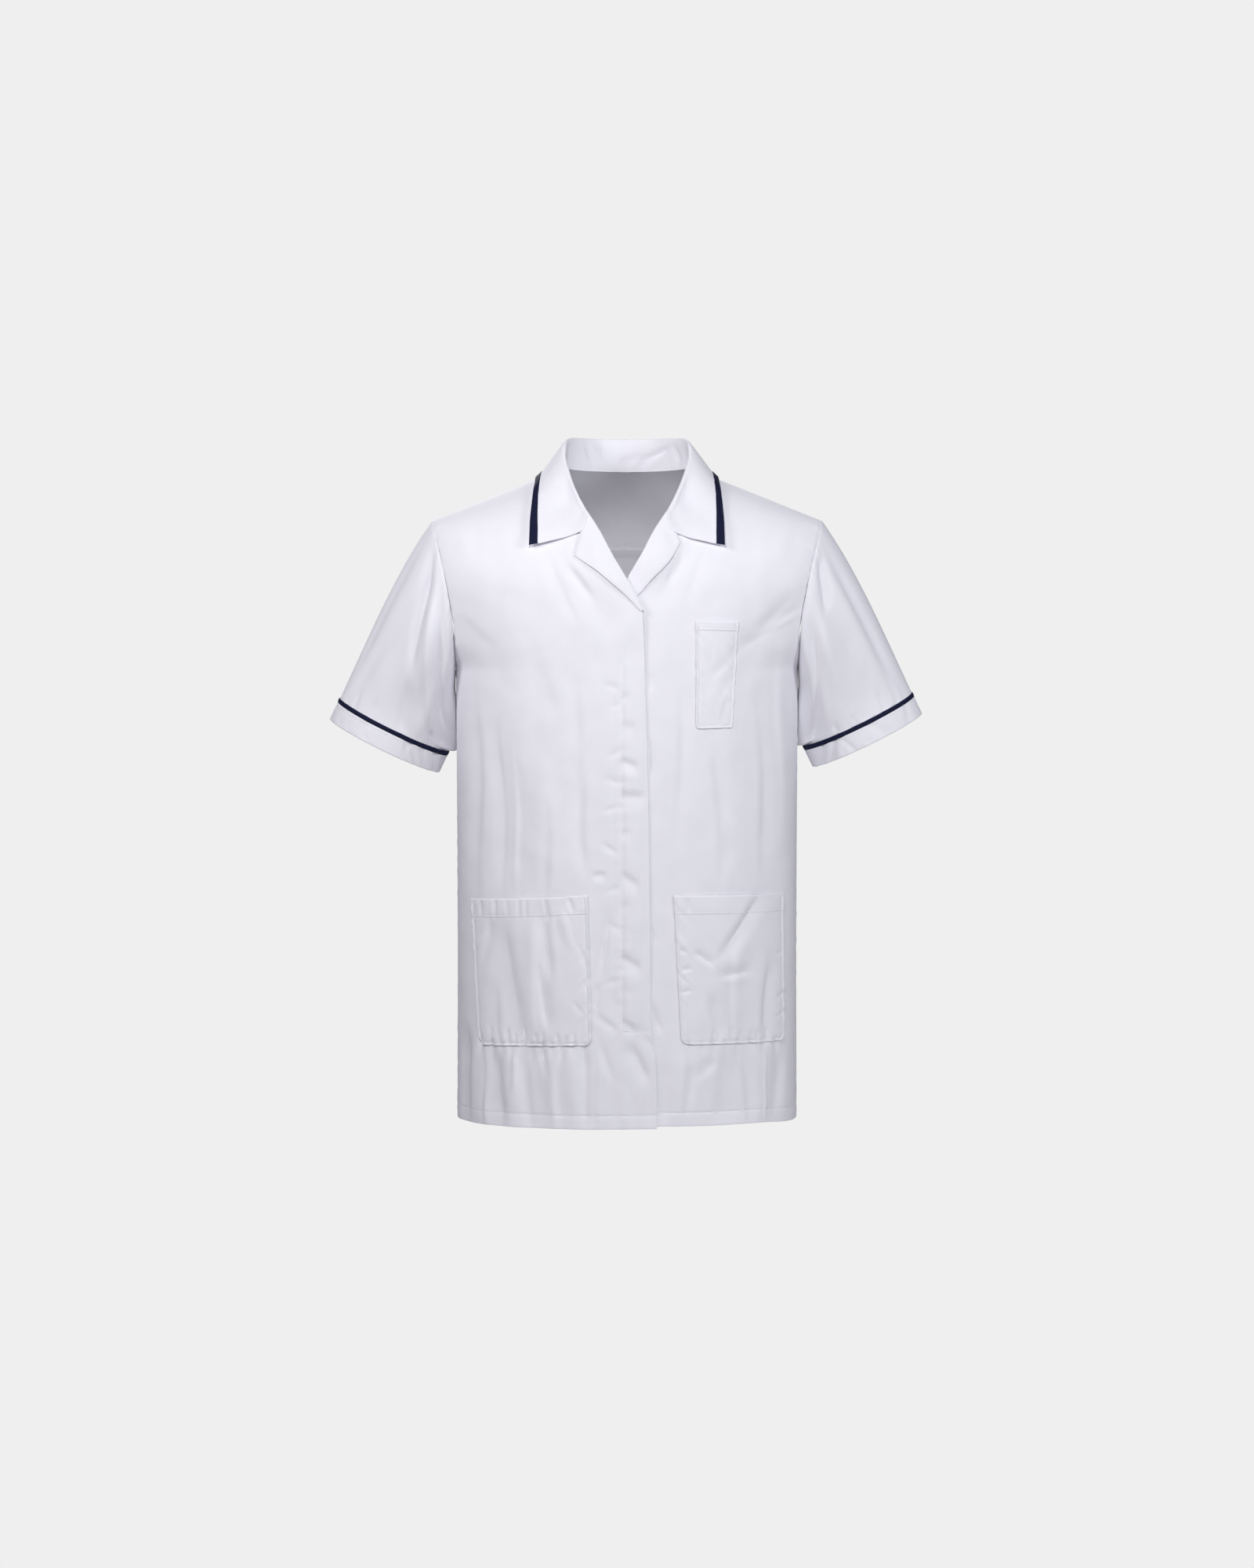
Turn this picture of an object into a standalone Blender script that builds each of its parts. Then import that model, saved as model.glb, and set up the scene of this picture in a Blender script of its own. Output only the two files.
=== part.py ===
"""Short-sleeved medical tunic, filled out as it is worn, with nobody inside.

Millimetres in the tables, metres in the scene. +Z is up and the front faces -Y.
The origin is the middle of the neck, level with the shoulder neck points.
Each half is drawn in its own coordinates: x grows from the centre towards that side.
side is -1 for the wearer's right (viewer's left) and +1 for the wearer's left.
face is -1 for the front of the body and +1 for the back.
"""

import math

import bmesh
import bpy
import numpy as np
from mathutils import Vector
from mathutils.bvhtree import BVHTree

COLLECTION = "medical_tunic"
MM = 0.001
RIGHT = -1
LEFT = 1
FRONT = -1
BACK = 1

# Cloth
WALL = 1.5
HEM_WALL = 2.1
CUFF_WALL = 2.2
PIPING_WALL = 2.6
TAPE_WALL = 0.9
SEAM = 0.3
LAY_GAP = 0.8

# Shoulders and neck
SHOULDER_SLOPE = 0.408
NECK_HALF_WIDTH = 70.0
NECK_ROUNDING = 30.0
SHOULDER_TIP_X = 222.0
NECK_EDGE_X = 72.0
SIDE_SEAM_Y = 4.0
UNDERARM_Z = -232.0
SECTION_POWER = 2.2
# How the front and back fall away from the shoulder ridge, at the neck and at the tip.
RIDGE_Y = (12.0, 3.0)
RIDGE_POWER = (1.25, 2.0)
ARCH_DROP = {FRONT: (140.0, 78.0), BACK: (100.0, 75.0)}

# Cross-sections of the body: height, half width, front depth, back depth.
SECTIONS = (
    (0.0, 243.0, 104.0, 106.0),
    (-61.0, 243.0, 108.0, 110.0),
    (-100.0, 241.0, 112.0, 114.0),
    (-130.0, 238.0, 115.0, 117.0),
    (-165.0, 227.0, 119.0, 118.5),
    (-200.0, 211.0, 122.0, 119.0),
    (-232.0, 196.0, 124.0, 119.0),
    (-330.0, 195.5, 127.0, 117.0),
    (-443.0, 195.0, 126.5, 115.0),
    (-560.0, 194.8, 125.0, 116.0),
    (-660.0, 195.2, 123.5, 118.0),
    (-746.0, 195.6, 121.5, 120.0),
)

# Armhole edges: height, distance from the centre.
ARMHOLE = {
    FRONT: (
        (-60.3, 222.0),
        (-93.0, 213.5),
        (-111.0, 209.0),
        (-133.0, 204.0),
        (-160.0, 199.0),
        (-185.0, 196.2),
        (-210.0, 195.6),
        (-232.0, 196.0),
    ),
    BACK: (
        (-60.3, 222.0),
        (-93.0, 217.0),
        (-133.0, 210.5),
        (-160.0, 205.5),
        (-185.0, 201.0),
        (-210.0, 197.6),
        (-232.0, 196.0),
    ),
}

# Rows of the front, shoulder seam to hem: edge x, edge height, side height.
FRONT_ROWS = (
    (72.0, -0.75, -60.3),
    (71.5, -9.0, -64.0),
    (68.0, -20.0, -73.0),
    (61.5, -32.0, -87.0),
    (53.5, -44.0, -104.0),
    (43.0, -55.0, -121.0),
    (30.0, -75.0, -139.0),
    (17.3, -99.0, -158.0),
    (-0.6, -130.0, -179.0),
    (-17.0, -162.0, -205.0),
    (-19.5, -205.0, -232.0),
    (-21.0, -255.0, -270.0),
    (-22.5, -305.0, -314.0),
    (-23.5, -352.0, -358.0),
    (-24.3, -398.0, -402.0),
    (-25.0, -443.0, -446.0),
    (-25.5, -488.0, -490.0),
    (-26.0, -533.0, -535.0),
    (-26.4, -578.0, -580.0),
    (-27.0, -624.0, -626.0),
    (-32.0, -666.0, -668.0),
    (-34.0, -727.0, -729.0),
    (-34.0, -729.0, -731.0),
    (-33.4, -744.0, -746.0),
)
UNDER_EDGE_X = -21.0
UNDER_EDGE_ROW = 10
ROLL_TOP_ROW = 5
BREAK_ROW = 9
UNDERARM_ROW = {FRONT: 10, BACK: 11}

# Rows of the back, shoulder seam to hem: edge x, edge height, side height.
BACK_ROWS = (
    (72.0, -0.75, -60.3),
    (57.0, -2.2, -64.0),
    (39.0, -3.2, -72.0),
    (19.0, -3.8, -82.0),
    (0.0, -4.0, -92.0),
    (0.0, -48.0, -99.0),
    (0.0, -94.0, -106.0),
    (0.0, -128.0, -130.0),
    (0.0, -160.0, -156.0),
    (0.0, -190.0, -182.0),
    (0.0, -218.0, -208.0),
    (0.0, -246.0, -232.0),
    (0.0, -275.0, -270.0),
    (0.0, -316.0, -314.0),
    (0.0, -359.0, -358.0),
    (0.0, -402.0, -402.0),
    (0.0, -446.0, -446.0),
    (0.0, -490.0, -490.0),
    (0.0, -535.0, -535.0),
    (0.0, -580.0, -580.0),
    (0.0, -626.0, -626.0),
    (0.0, -668.0, -668.0),
    (0.0, -729.0, -729.0),
    (0.0, -731.0, -731.0),
    (0.0, -746.0, -746.0),
)
NECK_BACK_ROW = 4
YOKE_ROW = 6
HEM_FOLD_Z = -730.0
PANEL_COLUMNS = 13

# The right front lies on the left one: how far out, and where it comes down to it.
OVERLAP_LIFT = 2.5
LAPEL_BULK = 3.6
OVERLAP_FULL_X = 25.0
OVERLAP_END_X = 75.0

# Largest folds of the body: side, face, x and z of both ends, half width, depth.
BODY_FOLDS = (
    (RIGHT, FRONT, 62, -118, 12, -190, 16, -2.6),
    (RIGHT, FRONT, 140, -300, 128, -480, 20, -3.0),
    (RIGHT, FRONT, 95, -330, 88, -470, 16, 2.2),
    (RIGHT, FRONT, 120, -560, 105, -744, 18, -2.6),
    (RIGHT, FRONT, 60, -660, 50, -744, 16, 2.6),
    (LEFT, FRONT, 70, -95, 30, -160, 15, -2.2),
    (LEFT, FRONT, 125, -215, 195, -158, 17, -3.0),
    (LEFT, FRONT, 120, -560, 130, -744, 20, -2.6),
    (LEFT, FRONT, 70, -650, 62, -744, 15, 2.4),
    (RIGHT, BACK, 60, -150, 30, -330, 24, -3.0),
    (LEFT, BACK, 75, -170, 40, -380, 24, -3.0),
    (RIGHT, BACK, 90, -520, 100, -746, 24, -3.4),
    (LEFT, BACK, 85, -480, 95, -746, 24, -3.4),
    (LEFT, BACK, 8, -420, 14, -746, 26, 3.4),
    (RIGHT, BACK, 150, -230, 110, -330, 18, -2.6),
    (LEFT, BACK, 155, -240, 118, -350, 18, -2.6),
)

# Sleeve, in its own side's coordinates: outer and inner ends of the piping and the hem.
SLEEVE_TOP_OUTER = (331.0, 28.0, -264.5)
SLEEVE_TOP_INNER = (205.5, 28.0, -326.0)
SLEEVE_HEM_OUTER = (343.0, 30.0, -289.0)
SLEEVE_HEM_INNER = (217.0, 30.0, -350.5)
SLEEVE_HALF_DEPTH = 46.0
SLEEVE_FRONT_DIP = 4.0
PIPING_DEPTH = 4.5
SLEEVE_RINGS = (0.0, 0.08, 0.2, 0.34, 0.48, 0.62, 0.76, 0.89, 1.0)
ARMHOLE_GAP = 0.5

# Largest sleeve folds: side, turn round the sleeve in degrees (0 outside, 90 front),
# start and end along it, half width in degrees, depth.
SLEEVE_FOLDS = (
    (RIGHT, 62, 0.05, 0.70, 13, -3.2),
    (RIGHT, 108, 0.15, 0.80, 12, -3.4),
    (RIGHT, 85, 0.20, 0.75, 12, 2.4),
    (LEFT, 100, 0.05, 0.90, 13, -3.4),
    (LEFT, 66, 0.10, 0.60, 12, -2.4),
    (RIGHT, 270, 0.05, 0.75, 15, -3.0),
    (LEFT, 262, 0.05, 0.80, 15, -3.0),
    (RIGHT, 305, 0.15, 0.85, 14, -2.2),
    (LEFT, 300, 0.10, 0.70, 14, -2.4),
)

# Roll line of the collar from the centre back to the gorge: x, y, z.
COLLAR_ROLL = (
    (0.0, 64.0, 32.0),
    (24.0, 60.5, 32.0),
    (46.0, 46.0, 32.5),
    (61.0, 26.0, 32.5),
    (68.0, 7.0, 28.0),
    (69.5, -8.0, 14.0),
    (65.0, -29.0, -5.0),
    (55.0, -55.0, -31.0),
    (44.0, -79.0, -53.0),
)
# Outer edge of the collar from the centre back to the front tip: x, y, z.
COLLAR_EDGE = (
    (0.0, 93.0, -24.0),
    (36.0, 90.0, -25.0),
    (68.0, 75.0, -24.0),
    (92.0, 45.0, -18.0),
    (104.5, 12.0, -10.5),
    (106.3, -20.0, -19.0),
    (108.0, -48.0, -40.0),
    (110.0, -75.0, -66.0),
    (110.5, -91.0, -90.0),
)
COLLAR_STATIONS = 21
COLLAR_STAND_STEPS = (0.0, 0.5, 0.85)
COLLAR_FALL_STEPS = (0.0, 0.07, 0.2, 0.36, 0.52, 0.67, 0.81, 1.0)
ROLL_RADIUS = 2.8
GORGE_NOTCH_AT = 0.2
GORGE_NOTCH = (-8.2, -15.4)
GORGE_FROM_STATION = 0.72
COLLAR_HOVER = 3.2
COLLAR_FOOT = 0.7
TAPE_WIDTH = 8.5
TAPE_INSET = 1.8

# Outer edge of each lapel from its tip to the break point: x, z.
LAPEL_EDGE = {
    RIGHT: ((55.0, -104.0), (34.0, -118.5), (17.0, -132.5), (1.0, -146.5), (-15.5, -163.5)),
    LEFT: ((58.0, -89.5), (48.0, -106.0), (29.0, -126.0), (11.0, -146.0), (-13.0, -163.0)),
}
LAPEL_ROWS = 9
LAPEL_COLUMNS = 5
LAPEL_LIFT = {RIGHT: 2.2, LEFT: 1.6}
LAPEL_LIFT_ENDS = {RIGHT: (0.55, 0.95), LEFT: (0.35, 0.7)}
GORGE_GAP = 1.0

# Patch pockets: corners as x, z in the side's own coordinates.
POCKETS = {
    "pocket_right": dict(
        side=RIGHT, inner_top=(44.3, -480.5), outer_top=(177.0, -490.0),
        inner_low=(39.5, -650.0), outer_low=(168.5, -655.0),
        hem=20.5, corner=9.0, bulge=3.0, columns=11, rows=9,
    ),
    "pocket_left": dict(
        side=LEFT, inner_top=(52.3, -481.0), outer_top=(177.0, -482.5),
        inner_low=(61.0, -649.5), outer_low=(179.0, -651.5),
        hem=20.5, corner=9.0, bulge=3.0, columns=10, rows=9,
    ),
    "pocket_chest": dict(
        side=LEFT, inner_top=(77.5, -173.3), outer_top=(125.0, -174.8),
        inner_low=(77.0, -294.5), outer_low=(118.0, -293.9),
        hem=10.5, corner=4.0, bulge=1.4, columns=5, rows=6,
    ),
}
POCKET_HEM_RISE = 0.7

WHITE_CLOTH = (0.86, 0.87, 0.92, 1.0)
NAVY_CLOTH = (0.02, 0.026, 0.075, 1.0)


def between(value, low, high):
    """Soft step from 0 at low to 1 at high."""
    t = np.clip((np.asarray(value, float) - low) / (high - low), 0.0, 1.0)
    return t * t * (3.0 - 2.0 * t)


def through(at, knots, values):
    """Smooth curve through the knots that never overshoots them."""
    knots = np.asarray(knots, float)
    values = np.asarray(values, float)
    if knots[0] > knots[-1]:
        knots = knots[::-1]
        values = values[::-1]
    step = np.diff(knots)
    slope = np.diff(values) / step
    tangent = np.zeros(len(knots))
    tangent[0] = slope[0]
    tangent[-1] = slope[-1]
    same = slope[:-1] * slope[1:] > 0.0
    total = np.where(same, slope[:-1] + slope[1:], 1.0)
    tangent[1:-1] = np.where(same, 2.0 * slope[:-1] * slope[1:] / total, 0.0)
    at = np.clip(np.asarray(at, float), knots[0], knots[-1])
    i = np.clip(np.searchsorted(knots, at) - 1, 0, len(step) - 1)
    t = (at - knots[i]) / step[i]
    rise = (3.0 - 2.0 * t) * t * t
    start = t * (1.0 - t) ** 2 * step[i] * tangent[i]
    end = -t * t * (1.0 - t) * step[i] * tangent[i + 1]
    return values[i] * (1.0 - rise) + values[i + 1] * rise + start + end


def column(table, number):
    return [row[number] for row in table]


def curve_point(table, at):
    """Point of a table's curve; at runs from 0 to 1 over its rows."""
    rows = np.arange(len(table))
    place = np.asarray(at, float) * (len(table) - 1)
    return np.stack([through(place, rows, column(table, c)) for c in range(len(table[0]))], -1)


def unit(vectors):
    return vectors / np.linalg.norm(vectors, axis=-1, keepdims=True)


def shoulder_height(x):
    rounded = np.sqrt(np.square(x) + NECK_ROUNDING ** 2)
    return -SHOULDER_SLOPE * (rounded - math.hypot(NECK_HALF_WIDTH, NECK_ROUNDING))


def along_shoulder(x, ends):
    """Value at x that runs from the neck's to the shoulder tip's."""
    share = np.clip((np.abs(x) - NECK_EDGE_X) / (SHOULDER_TIP_X - NECK_EDGE_X), 0.0, 1.0)
    return ends[0] + (ends[1] - ends[0]) * share


def half_width(z):
    return through(z, column(SECTIONS, 0), column(SECTIONS, 1))


def body_depth(face, x, z):
    """How far the body stands out at x, z, before folds."""
    depth = through(z, column(SECTIONS, 0), column(SECTIONS, 2 if face == FRONT else 3))
    ratio = np.clip(np.abs(x) / half_width(z), 0.0, 1.0)
    section = SIDE_SEAM_Y + face * depth * (1.0 - ratio ** SECTION_POWER) ** (1.0 / SECTION_POWER)
    ridge = along_shoulder(x, RIDGE_Y)
    fallen = np.clip((shoulder_height(x) - z) / along_shoulder(x, ARCH_DROP[face]), 0.0, 1.0)
    arch = (1.0 - (1.0 - fallen) ** 2) ** (1.0 / along_shoulder(x, RIDGE_POWER))
    return ridge + (section - ridge) * arch


def fold_height(side, face, x, z):
    """Soft troughs and ridges of the body's cloth."""
    height = np.zeros(np.broadcast(x, z).shape)
    for fold_side, fold_face, x0, z0, x1, z1, width, depth in BODY_FOLDS:
        if (fold_side, fold_face) != (side, face):
            continue
        length = math.hypot(x1 - x0, z1 - z0)
        dx = (x1 - x0) / length
        dz = (z1 - z0) / length
        along = (x - x0) * dx + (z - z0) * dz
        across = (x - x0) * dz - (z - z0) * dx
        start = between(along, -0.2 * length, 0.3 * length)
        end = between(along, 0.7 * length, 1.2 * length)
        ends = start * (1.0 - end)
        height = height + depth * ends * np.exp(-np.square(across / width))
    seam_fade = between(half_width(z) - np.abs(x), 4.0, 34.0)
    shoulder_fade = between(shoulder_height(x) - z, 20.0, 80.0)
    centre_fade = 1.0 if face == FRONT else between(x, 0.0, 18.0)
    return height * seam_fade * shoulder_fade * centre_fade


def overlap_height(side, x, z):
    """The right front rises where it lies on the left one and on its lapel."""
    if side != RIGHT:
        return 0.0 * x
    near = 1.0 - between(x, OVERLAP_FULL_X, OVERLAP_END_X)
    bulk = between(-z, 105.0, 134.0) * (1.0 - between(-z, 168.0, 225.0))
    return near * (OVERLAP_LIFT * between(-z, 70.0, 125.0) + LAPEL_BULK * bulk)


def bare_point(side, face, x, z):
    return np.stack([side * x, body_depth(face, x, z), z + 0.0 * x], -1)


def bare_normal(side, face, x, z):
    step = 1.0
    across = bare_point(side, face, x + step, z) - bare_point(side, face, x - step, z)
    down = bare_point(side, face, x, z - step) - bare_point(side, face, x, z + step)
    return unit(np.cross(across, down) * side * face)


def body_point(side, face, x, z):
    """Outer face of the body's cloth at x, z."""
    x = np.asarray(x, float)
    z = np.asarray(z, float)
    height = fold_height(side, face, x, z)
    if face == FRONT:
        height = height + overlap_height(side, x, z)
    return bare_point(side, face, x, z) + bare_normal(side, face, x, z) * height[..., None]


def body_normal(side, face, x, z):
    step = 2.0
    across = body_point(side, face, x + step, z) - body_point(side, face, x - step, z)
    down = body_point(side, face, x, z - step) - body_point(side, face, x, z + step)
    return unit(np.cross(across, down) * side * face)


def panel_rows(side, face):
    """Row table of one half, with the left front's edge set back under the right one."""
    if face == BACK:
        return BACK_ROWS
    if side == RIGHT:
        return FRONT_ROWS
    rows = [list(row) for row in FRONT_ROWS]
    for row in rows[UNDER_EDGE_ROW:]:
        row[0] = UNDER_EDGE_X
    return rows


def panel_places(side, face):
    """x and z of a half panel's grid, a row for each section."""
    turns = np.linspace(0.0, 1.0, PANEL_COLUMNS + 1)
    xs = []
    zs = []
    for number, (edge_x, edge_z, side_z) in enumerate(panel_rows(side, face)):
        if side_z > UNDERARM_Z:
            side_x = float(through(side_z, column(ARMHOLE[face], 0), column(ARMHOLE[face], 1)))
        else:
            side_x = float(half_width(side_z))
        bend = 1.0 - between(number, 0.0, 8.0)
        z = edge_z + (side_z - edge_z) * turns
        for _ in range(4):
            width = half_width(z)
            start = np.arcsin(min(abs(edge_x) / width[0], 1.0) ** (SECTION_POWER / 2.0))
            start = math.copysign(start, edge_x)
            end = np.arcsin(min(side_x / width[-1], 1.0) ** (SECTION_POWER / 2.0))
            angle = start + (end - start) * turns
            x = width * np.abs(np.sin(angle)) ** (2.0 / SECTION_POWER) * np.sign(angle)
            share = (x - edge_x) / (side_x - edge_x)
            straight = edge_z + (side_z - edge_z) * share
            ends = shoulder_height(np.array([edge_x, side_x]))
            ridge = shoulder_height(x) - (ends[0] + (ends[1] - ends[0]) * share)
            z = straight + bend * ridge
        xs.append(x)
        zs.append(z)
    return np.array(xs), np.array(zs)


def grid_normals(grid, outward):
    """Normals of a grid of points; outward is a rough outward direction for each."""
    rows = np.gradient(grid, axis=0)
    columns = np.gradient(grid, axis=1)
    normals = unit(np.cross(columns, rows))
    flip = np.sign(np.sum(normals * outward, axis=-1, keepdims=True))
    return normals * np.where(flip == 0.0, 1.0, flip)


def half_body(side):
    """Points and normals of one half: front and back share seam points and seam normals."""
    grids = {}
    rough = {}
    for face in (FRONT, BACK):
        x, z = panel_places(side, face)
        grids[face] = body_point(side, face, x, z)
        ratio = np.clip(x / half_width(z), -1.0, 1.0)
        rough[face] = np.stack([side * ratio, face * (1.02 - np.abs(ratio)), 0.4 * (z > -60.0)], -1)
    shared = np.concatenate([grids[FRONT][::-1], grids[BACK][1:]])
    rough_shared = np.concatenate([rough[FRONT][::-1], rough[BACK][1:]])
    normals = grid_normals(shared, rough_shared)
    count = len(grids[FRONT])
    result = {FRONT: normals[:count][::-1].copy(), BACK: normals[count - 1:].copy()}
    front_low = UNDERARM_ROW[FRONT]
    back_low = UNDERARM_ROW[BACK]
    meeting = unit(result[FRONT][front_low:, -1] + result[BACK][back_low:, -1])
    result[FRONT][front_low:, -1] = meeting
    result[BACK][back_low:, -1] = meeting
    middle = result[BACK][NECK_BACK_ROW:, 0]
    middle[:, 0] = 0.0
    result[BACK][NECK_BACK_ROW:, 0] = unit(middle)
    return grids, result


def trimmed(grid, top=0.0, bottom=0.0, first=0.0, last=0.0):
    """Edges of a grid drawn back along its rows and columns, to leave a seam gap."""
    grid = grid.copy()
    if top:
        grid[0] += unit(grid[1] - grid[0]) * top
    if bottom:
        grid[-1] += unit(grid[-2] - grid[-1]) * bottom
    if first:
        grid[:, 0] += unit(grid[:, 1] - grid[:, 0]) * first
    if last:
        grid[:, -1] += unit(grid[:, -2] - grid[:, -1]) * last
    return grid


def cloth_material(name, colour):
    material = bpy.data.materials.new(name)
    material.use_nodes = True
    shader = material.node_tree.nodes["Principled BSDF"]
    shader.inputs["Base Color"].default_value = colour
    shader.inputs["Roughness"].default_value = 0.8
    shader.inputs["Metallic"].default_value = 0.0
    material.diffuse_color = colour
    return material


def wall_solid(name, sheets, colour, ring=False):
    """Closed wall between outer and inner grids of sections; equal edge points are joined."""
    outer_points = []
    inner_points = []
    numbers = {}
    faces = []
    for outer, inner in sheets:
        rows, columns = outer.shape[:2]
        ids = np.zeros((rows, columns), int)
        for place in np.ndindex(rows, columns):
            key = tuple(np.round(outer[place], 3))
            if key not in numbers:
                numbers[key] = len(outer_points)
                outer_points.append(outer[place])
                inner_points.append(inner[place])
            ids[place] = numbers[key]
        if ring:
            ids = np.concatenate([ids, ids[:, :1]], axis=1)
        for r in range(rows - 1):
            for c in range(ids.shape[1] - 1):
                faces.append((ids[r, c], ids[r, c + 1], ids[r + 1, c + 1], ids[r + 1, c]))
    uses = {}
    for face in faces:
        for a, b in zip(face, face[1:] + face[:1]):
            uses.setdefault((min(a, b), max(a, b)), []).append((a, b))
    inside = len(outer_points)
    rims = [(b, a, inside + a, inside + b) for edge in uses.values() if len(edge) == 1 for a, b in edge]
    lining = [tuple(inside + corner for corner in reversed(face)) for face in faces]
    points = [tuple(np.asarray(p) * MM) for p in outer_points + inner_points]
    mesh = bpy.data.meshes.new(name)
    mesh.from_pydata(points, [], faces + lining + rims)
    shape = bmesh.new()
    shape.from_mesh(mesh)
    bmesh.ops.recalc_face_normals(shape, faces=shape.faces)
    shape.to_mesh(mesh)
    shape.free()
    mesh.shade_smooth()
    mesh.set_sharp_from_angle(angle=math.radians(50.0))
    mesh.materials.append(cloth_material(name, colour))
    body = bpy.data.objects.new(name, mesh)
    bpy.data.collections[COLLECTION].objects.link(body)
    return body


def shell(name, outer, normals, wall, colour=WHITE_CLOTH, ring=False):
    """Wall that lies inside an outer face; wall is one thickness or one for each point."""
    thickness = np.broadcast_to(wall, outer.shape[:2])[..., None]
    return wall_solid(name, [(outer, outer - normals * thickness)], colour, ring)


def hem_wall(grid):
    return np.where(grid[..., 2] < HEM_FOLD_Z, HEM_WALL, WALL)


def surface_tree(grids):
    """Search tree over the outer faces of some grids."""
    points = []
    faces = []
    for grid in grids:
        start = len(points)
        rows, columns = grid.shape[:2]
        points += [Vector(p) for p in grid.reshape(-1, 3)]
        for r in range(rows - 1):
            for c in range(columns - 1):
                a = start + r * columns + c
                faces.append((a, a + 1, a + columns + 1, a + columns))
    return BVHTree.FromPolygons(points, faces)


def kept_clear(grid, tree, clearance):
    """Points pushed out to a distance from the body; clearance is given for each point."""
    middle = Vector((0.0, 0.0, -300.0))
    result = grid.copy()
    for place in np.ndindex(grid.shape[:2]):
        point = Vector(grid[place])
        near, normal, _, _ = tree.find_nearest(point)
        level = Vector((near.x - middle.x, near.y - middle.y, max(near.z + 60.0, 0.0) * 2.0))
        if normal.dot(level) < 0.0:
            normal = -normal
        height = (point - near).dot(normal)
        short = clearance[place] - height
        if short > 0.0:
            result[place] = point + normal * short
    return result


def armhole_loop(side, grids, normals):
    """Armhole from the shoulder tip down the front to the underarm and up the back."""
    front = slice(0, UNDERARM_ROW[FRONT] + 1)
    back = slice(UNDERARM_ROW[BACK] - 1, 0, -1)
    points = np.concatenate([grids[FRONT][front, -1], grids[BACK][back, -1]])
    outward = np.concatenate([normals[FRONT][front, -1], normals[BACK][back, -1]])
    low = UNDERARM_ROW[FRONT]
    closed = np.concatenate([points, points[:1]])
    run = np.concatenate([[0.0], np.cumsum(np.linalg.norm(np.diff(closed, axis=0), axis=1))])
    turn = np.where(
        np.arange(len(points)) <= low,
        math.pi * run[:-1] / run[low],
        math.pi * (1.0 + (run[:-1] - run[low]) / (run[-1] - run[low])),
    )
    return points, outward, turn


def sleeve_ring(side, outer_end, inner_end, turn, spread=0.0):
    """Oval ring of the sleeve between its outer and inner ends."""
    outer_end = np.array(outer_end) * (side, 1.0, 1.0)
    inner_end = np.array(inner_end) * (side, 1.0, 1.0)
    centre = (outer_end + inner_end) / 2.0
    half = (outer_end - inner_end) / 2.0
    reach = np.linalg.norm(half)
    across = half * (1.0 + spread / reach)
    forward = np.array([0.0, -SLEEVE_HALF_DEPTH - spread, -SLEEVE_FRONT_DIP])
    return centre + np.cos(turn)[:, None] * across + np.sin(turn)[:, None] * forward


def sleeve_fold(side, along, turn):
    degrees = np.degrees(turn)
    height = np.zeros(len(turn))
    for fold_side, centre, start, end, width, depth in SLEEVE_FOLDS:
        if fold_side != side:
            continue
        reach = end - start
        begun = between(along, start - 0.1, start + 0.3 * reach)
        ended = between(along, end - 0.3 * reach, end + 0.1)
        ends = begun * (1.0 - ended)
        height += depth * ends * np.exp(-np.square((degrees - centre) / width))
    return height * between(along, 0.0, 0.15) * (1.0 - between(along, 0.85, 1.0))


def sleeve_grid(side, start, outward, turn):
    """Rings of the sleeve from the armhole to the piping."""
    end = sleeve_ring(side, SLEEVE_TOP_OUTER, SLEEVE_TOP_INNER, turn)
    axis = unit(np.array(SLEEVE_HEM_OUTER) - np.array(SLEEVE_TOP_OUTER)) * (side, 1.0, 1.0)
    under = ((1.0 - np.cos(turn)) / 2.0)[:, None]
    leave_top = np.array([0.58 * side, 0.05, -0.81])
    leave_under = np.array([0.03 * side, 0.10, -1.0])
    leave = unit(leave_top * (1.0 - under) + leave_under * under - [0.0, 0.15, 0.0] * np.sin(turn)[:, None])
    gap = unit(outward + leave) * ARMHOLE_GAP
    start = start + gap
    reach = np.linalg.norm(end - start, axis=1)[:, None]
    first = start + leave * reach / 3.0
    second = end - axis * reach * (1.0 / 3.0 - under / 6.0)
    rings = []
    for t in SLEEVE_RINGS:
        rest = 1.0 - t
        ring = start * rest ** 3 + first * 3 * t * rest ** 2 + second * 3 * t * t * rest + end * t ** 3
        rings.append(ring)
    grid = np.array(rings)
    normals = ring_normals(grid)
    for number, t in enumerate(SLEEVE_RINGS):
        grid[number] += normals[number] * sleeve_fold(side, t, turn)[:, None]
    return grid


def ring_normals(grid):
    """Outward normals of a tube of closed rings."""
    columns = np.roll(grid, -1, axis=1) - np.roll(grid, 1, axis=1)
    rows = np.gradient(grid, axis=0)
    normals = unit(np.cross(columns, rows))
    centres = grid.mean(axis=1, keepdims=True)
    if np.sum((grid - centres) * normals) < 0.0:
        normals = -normals
    return normals


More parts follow.
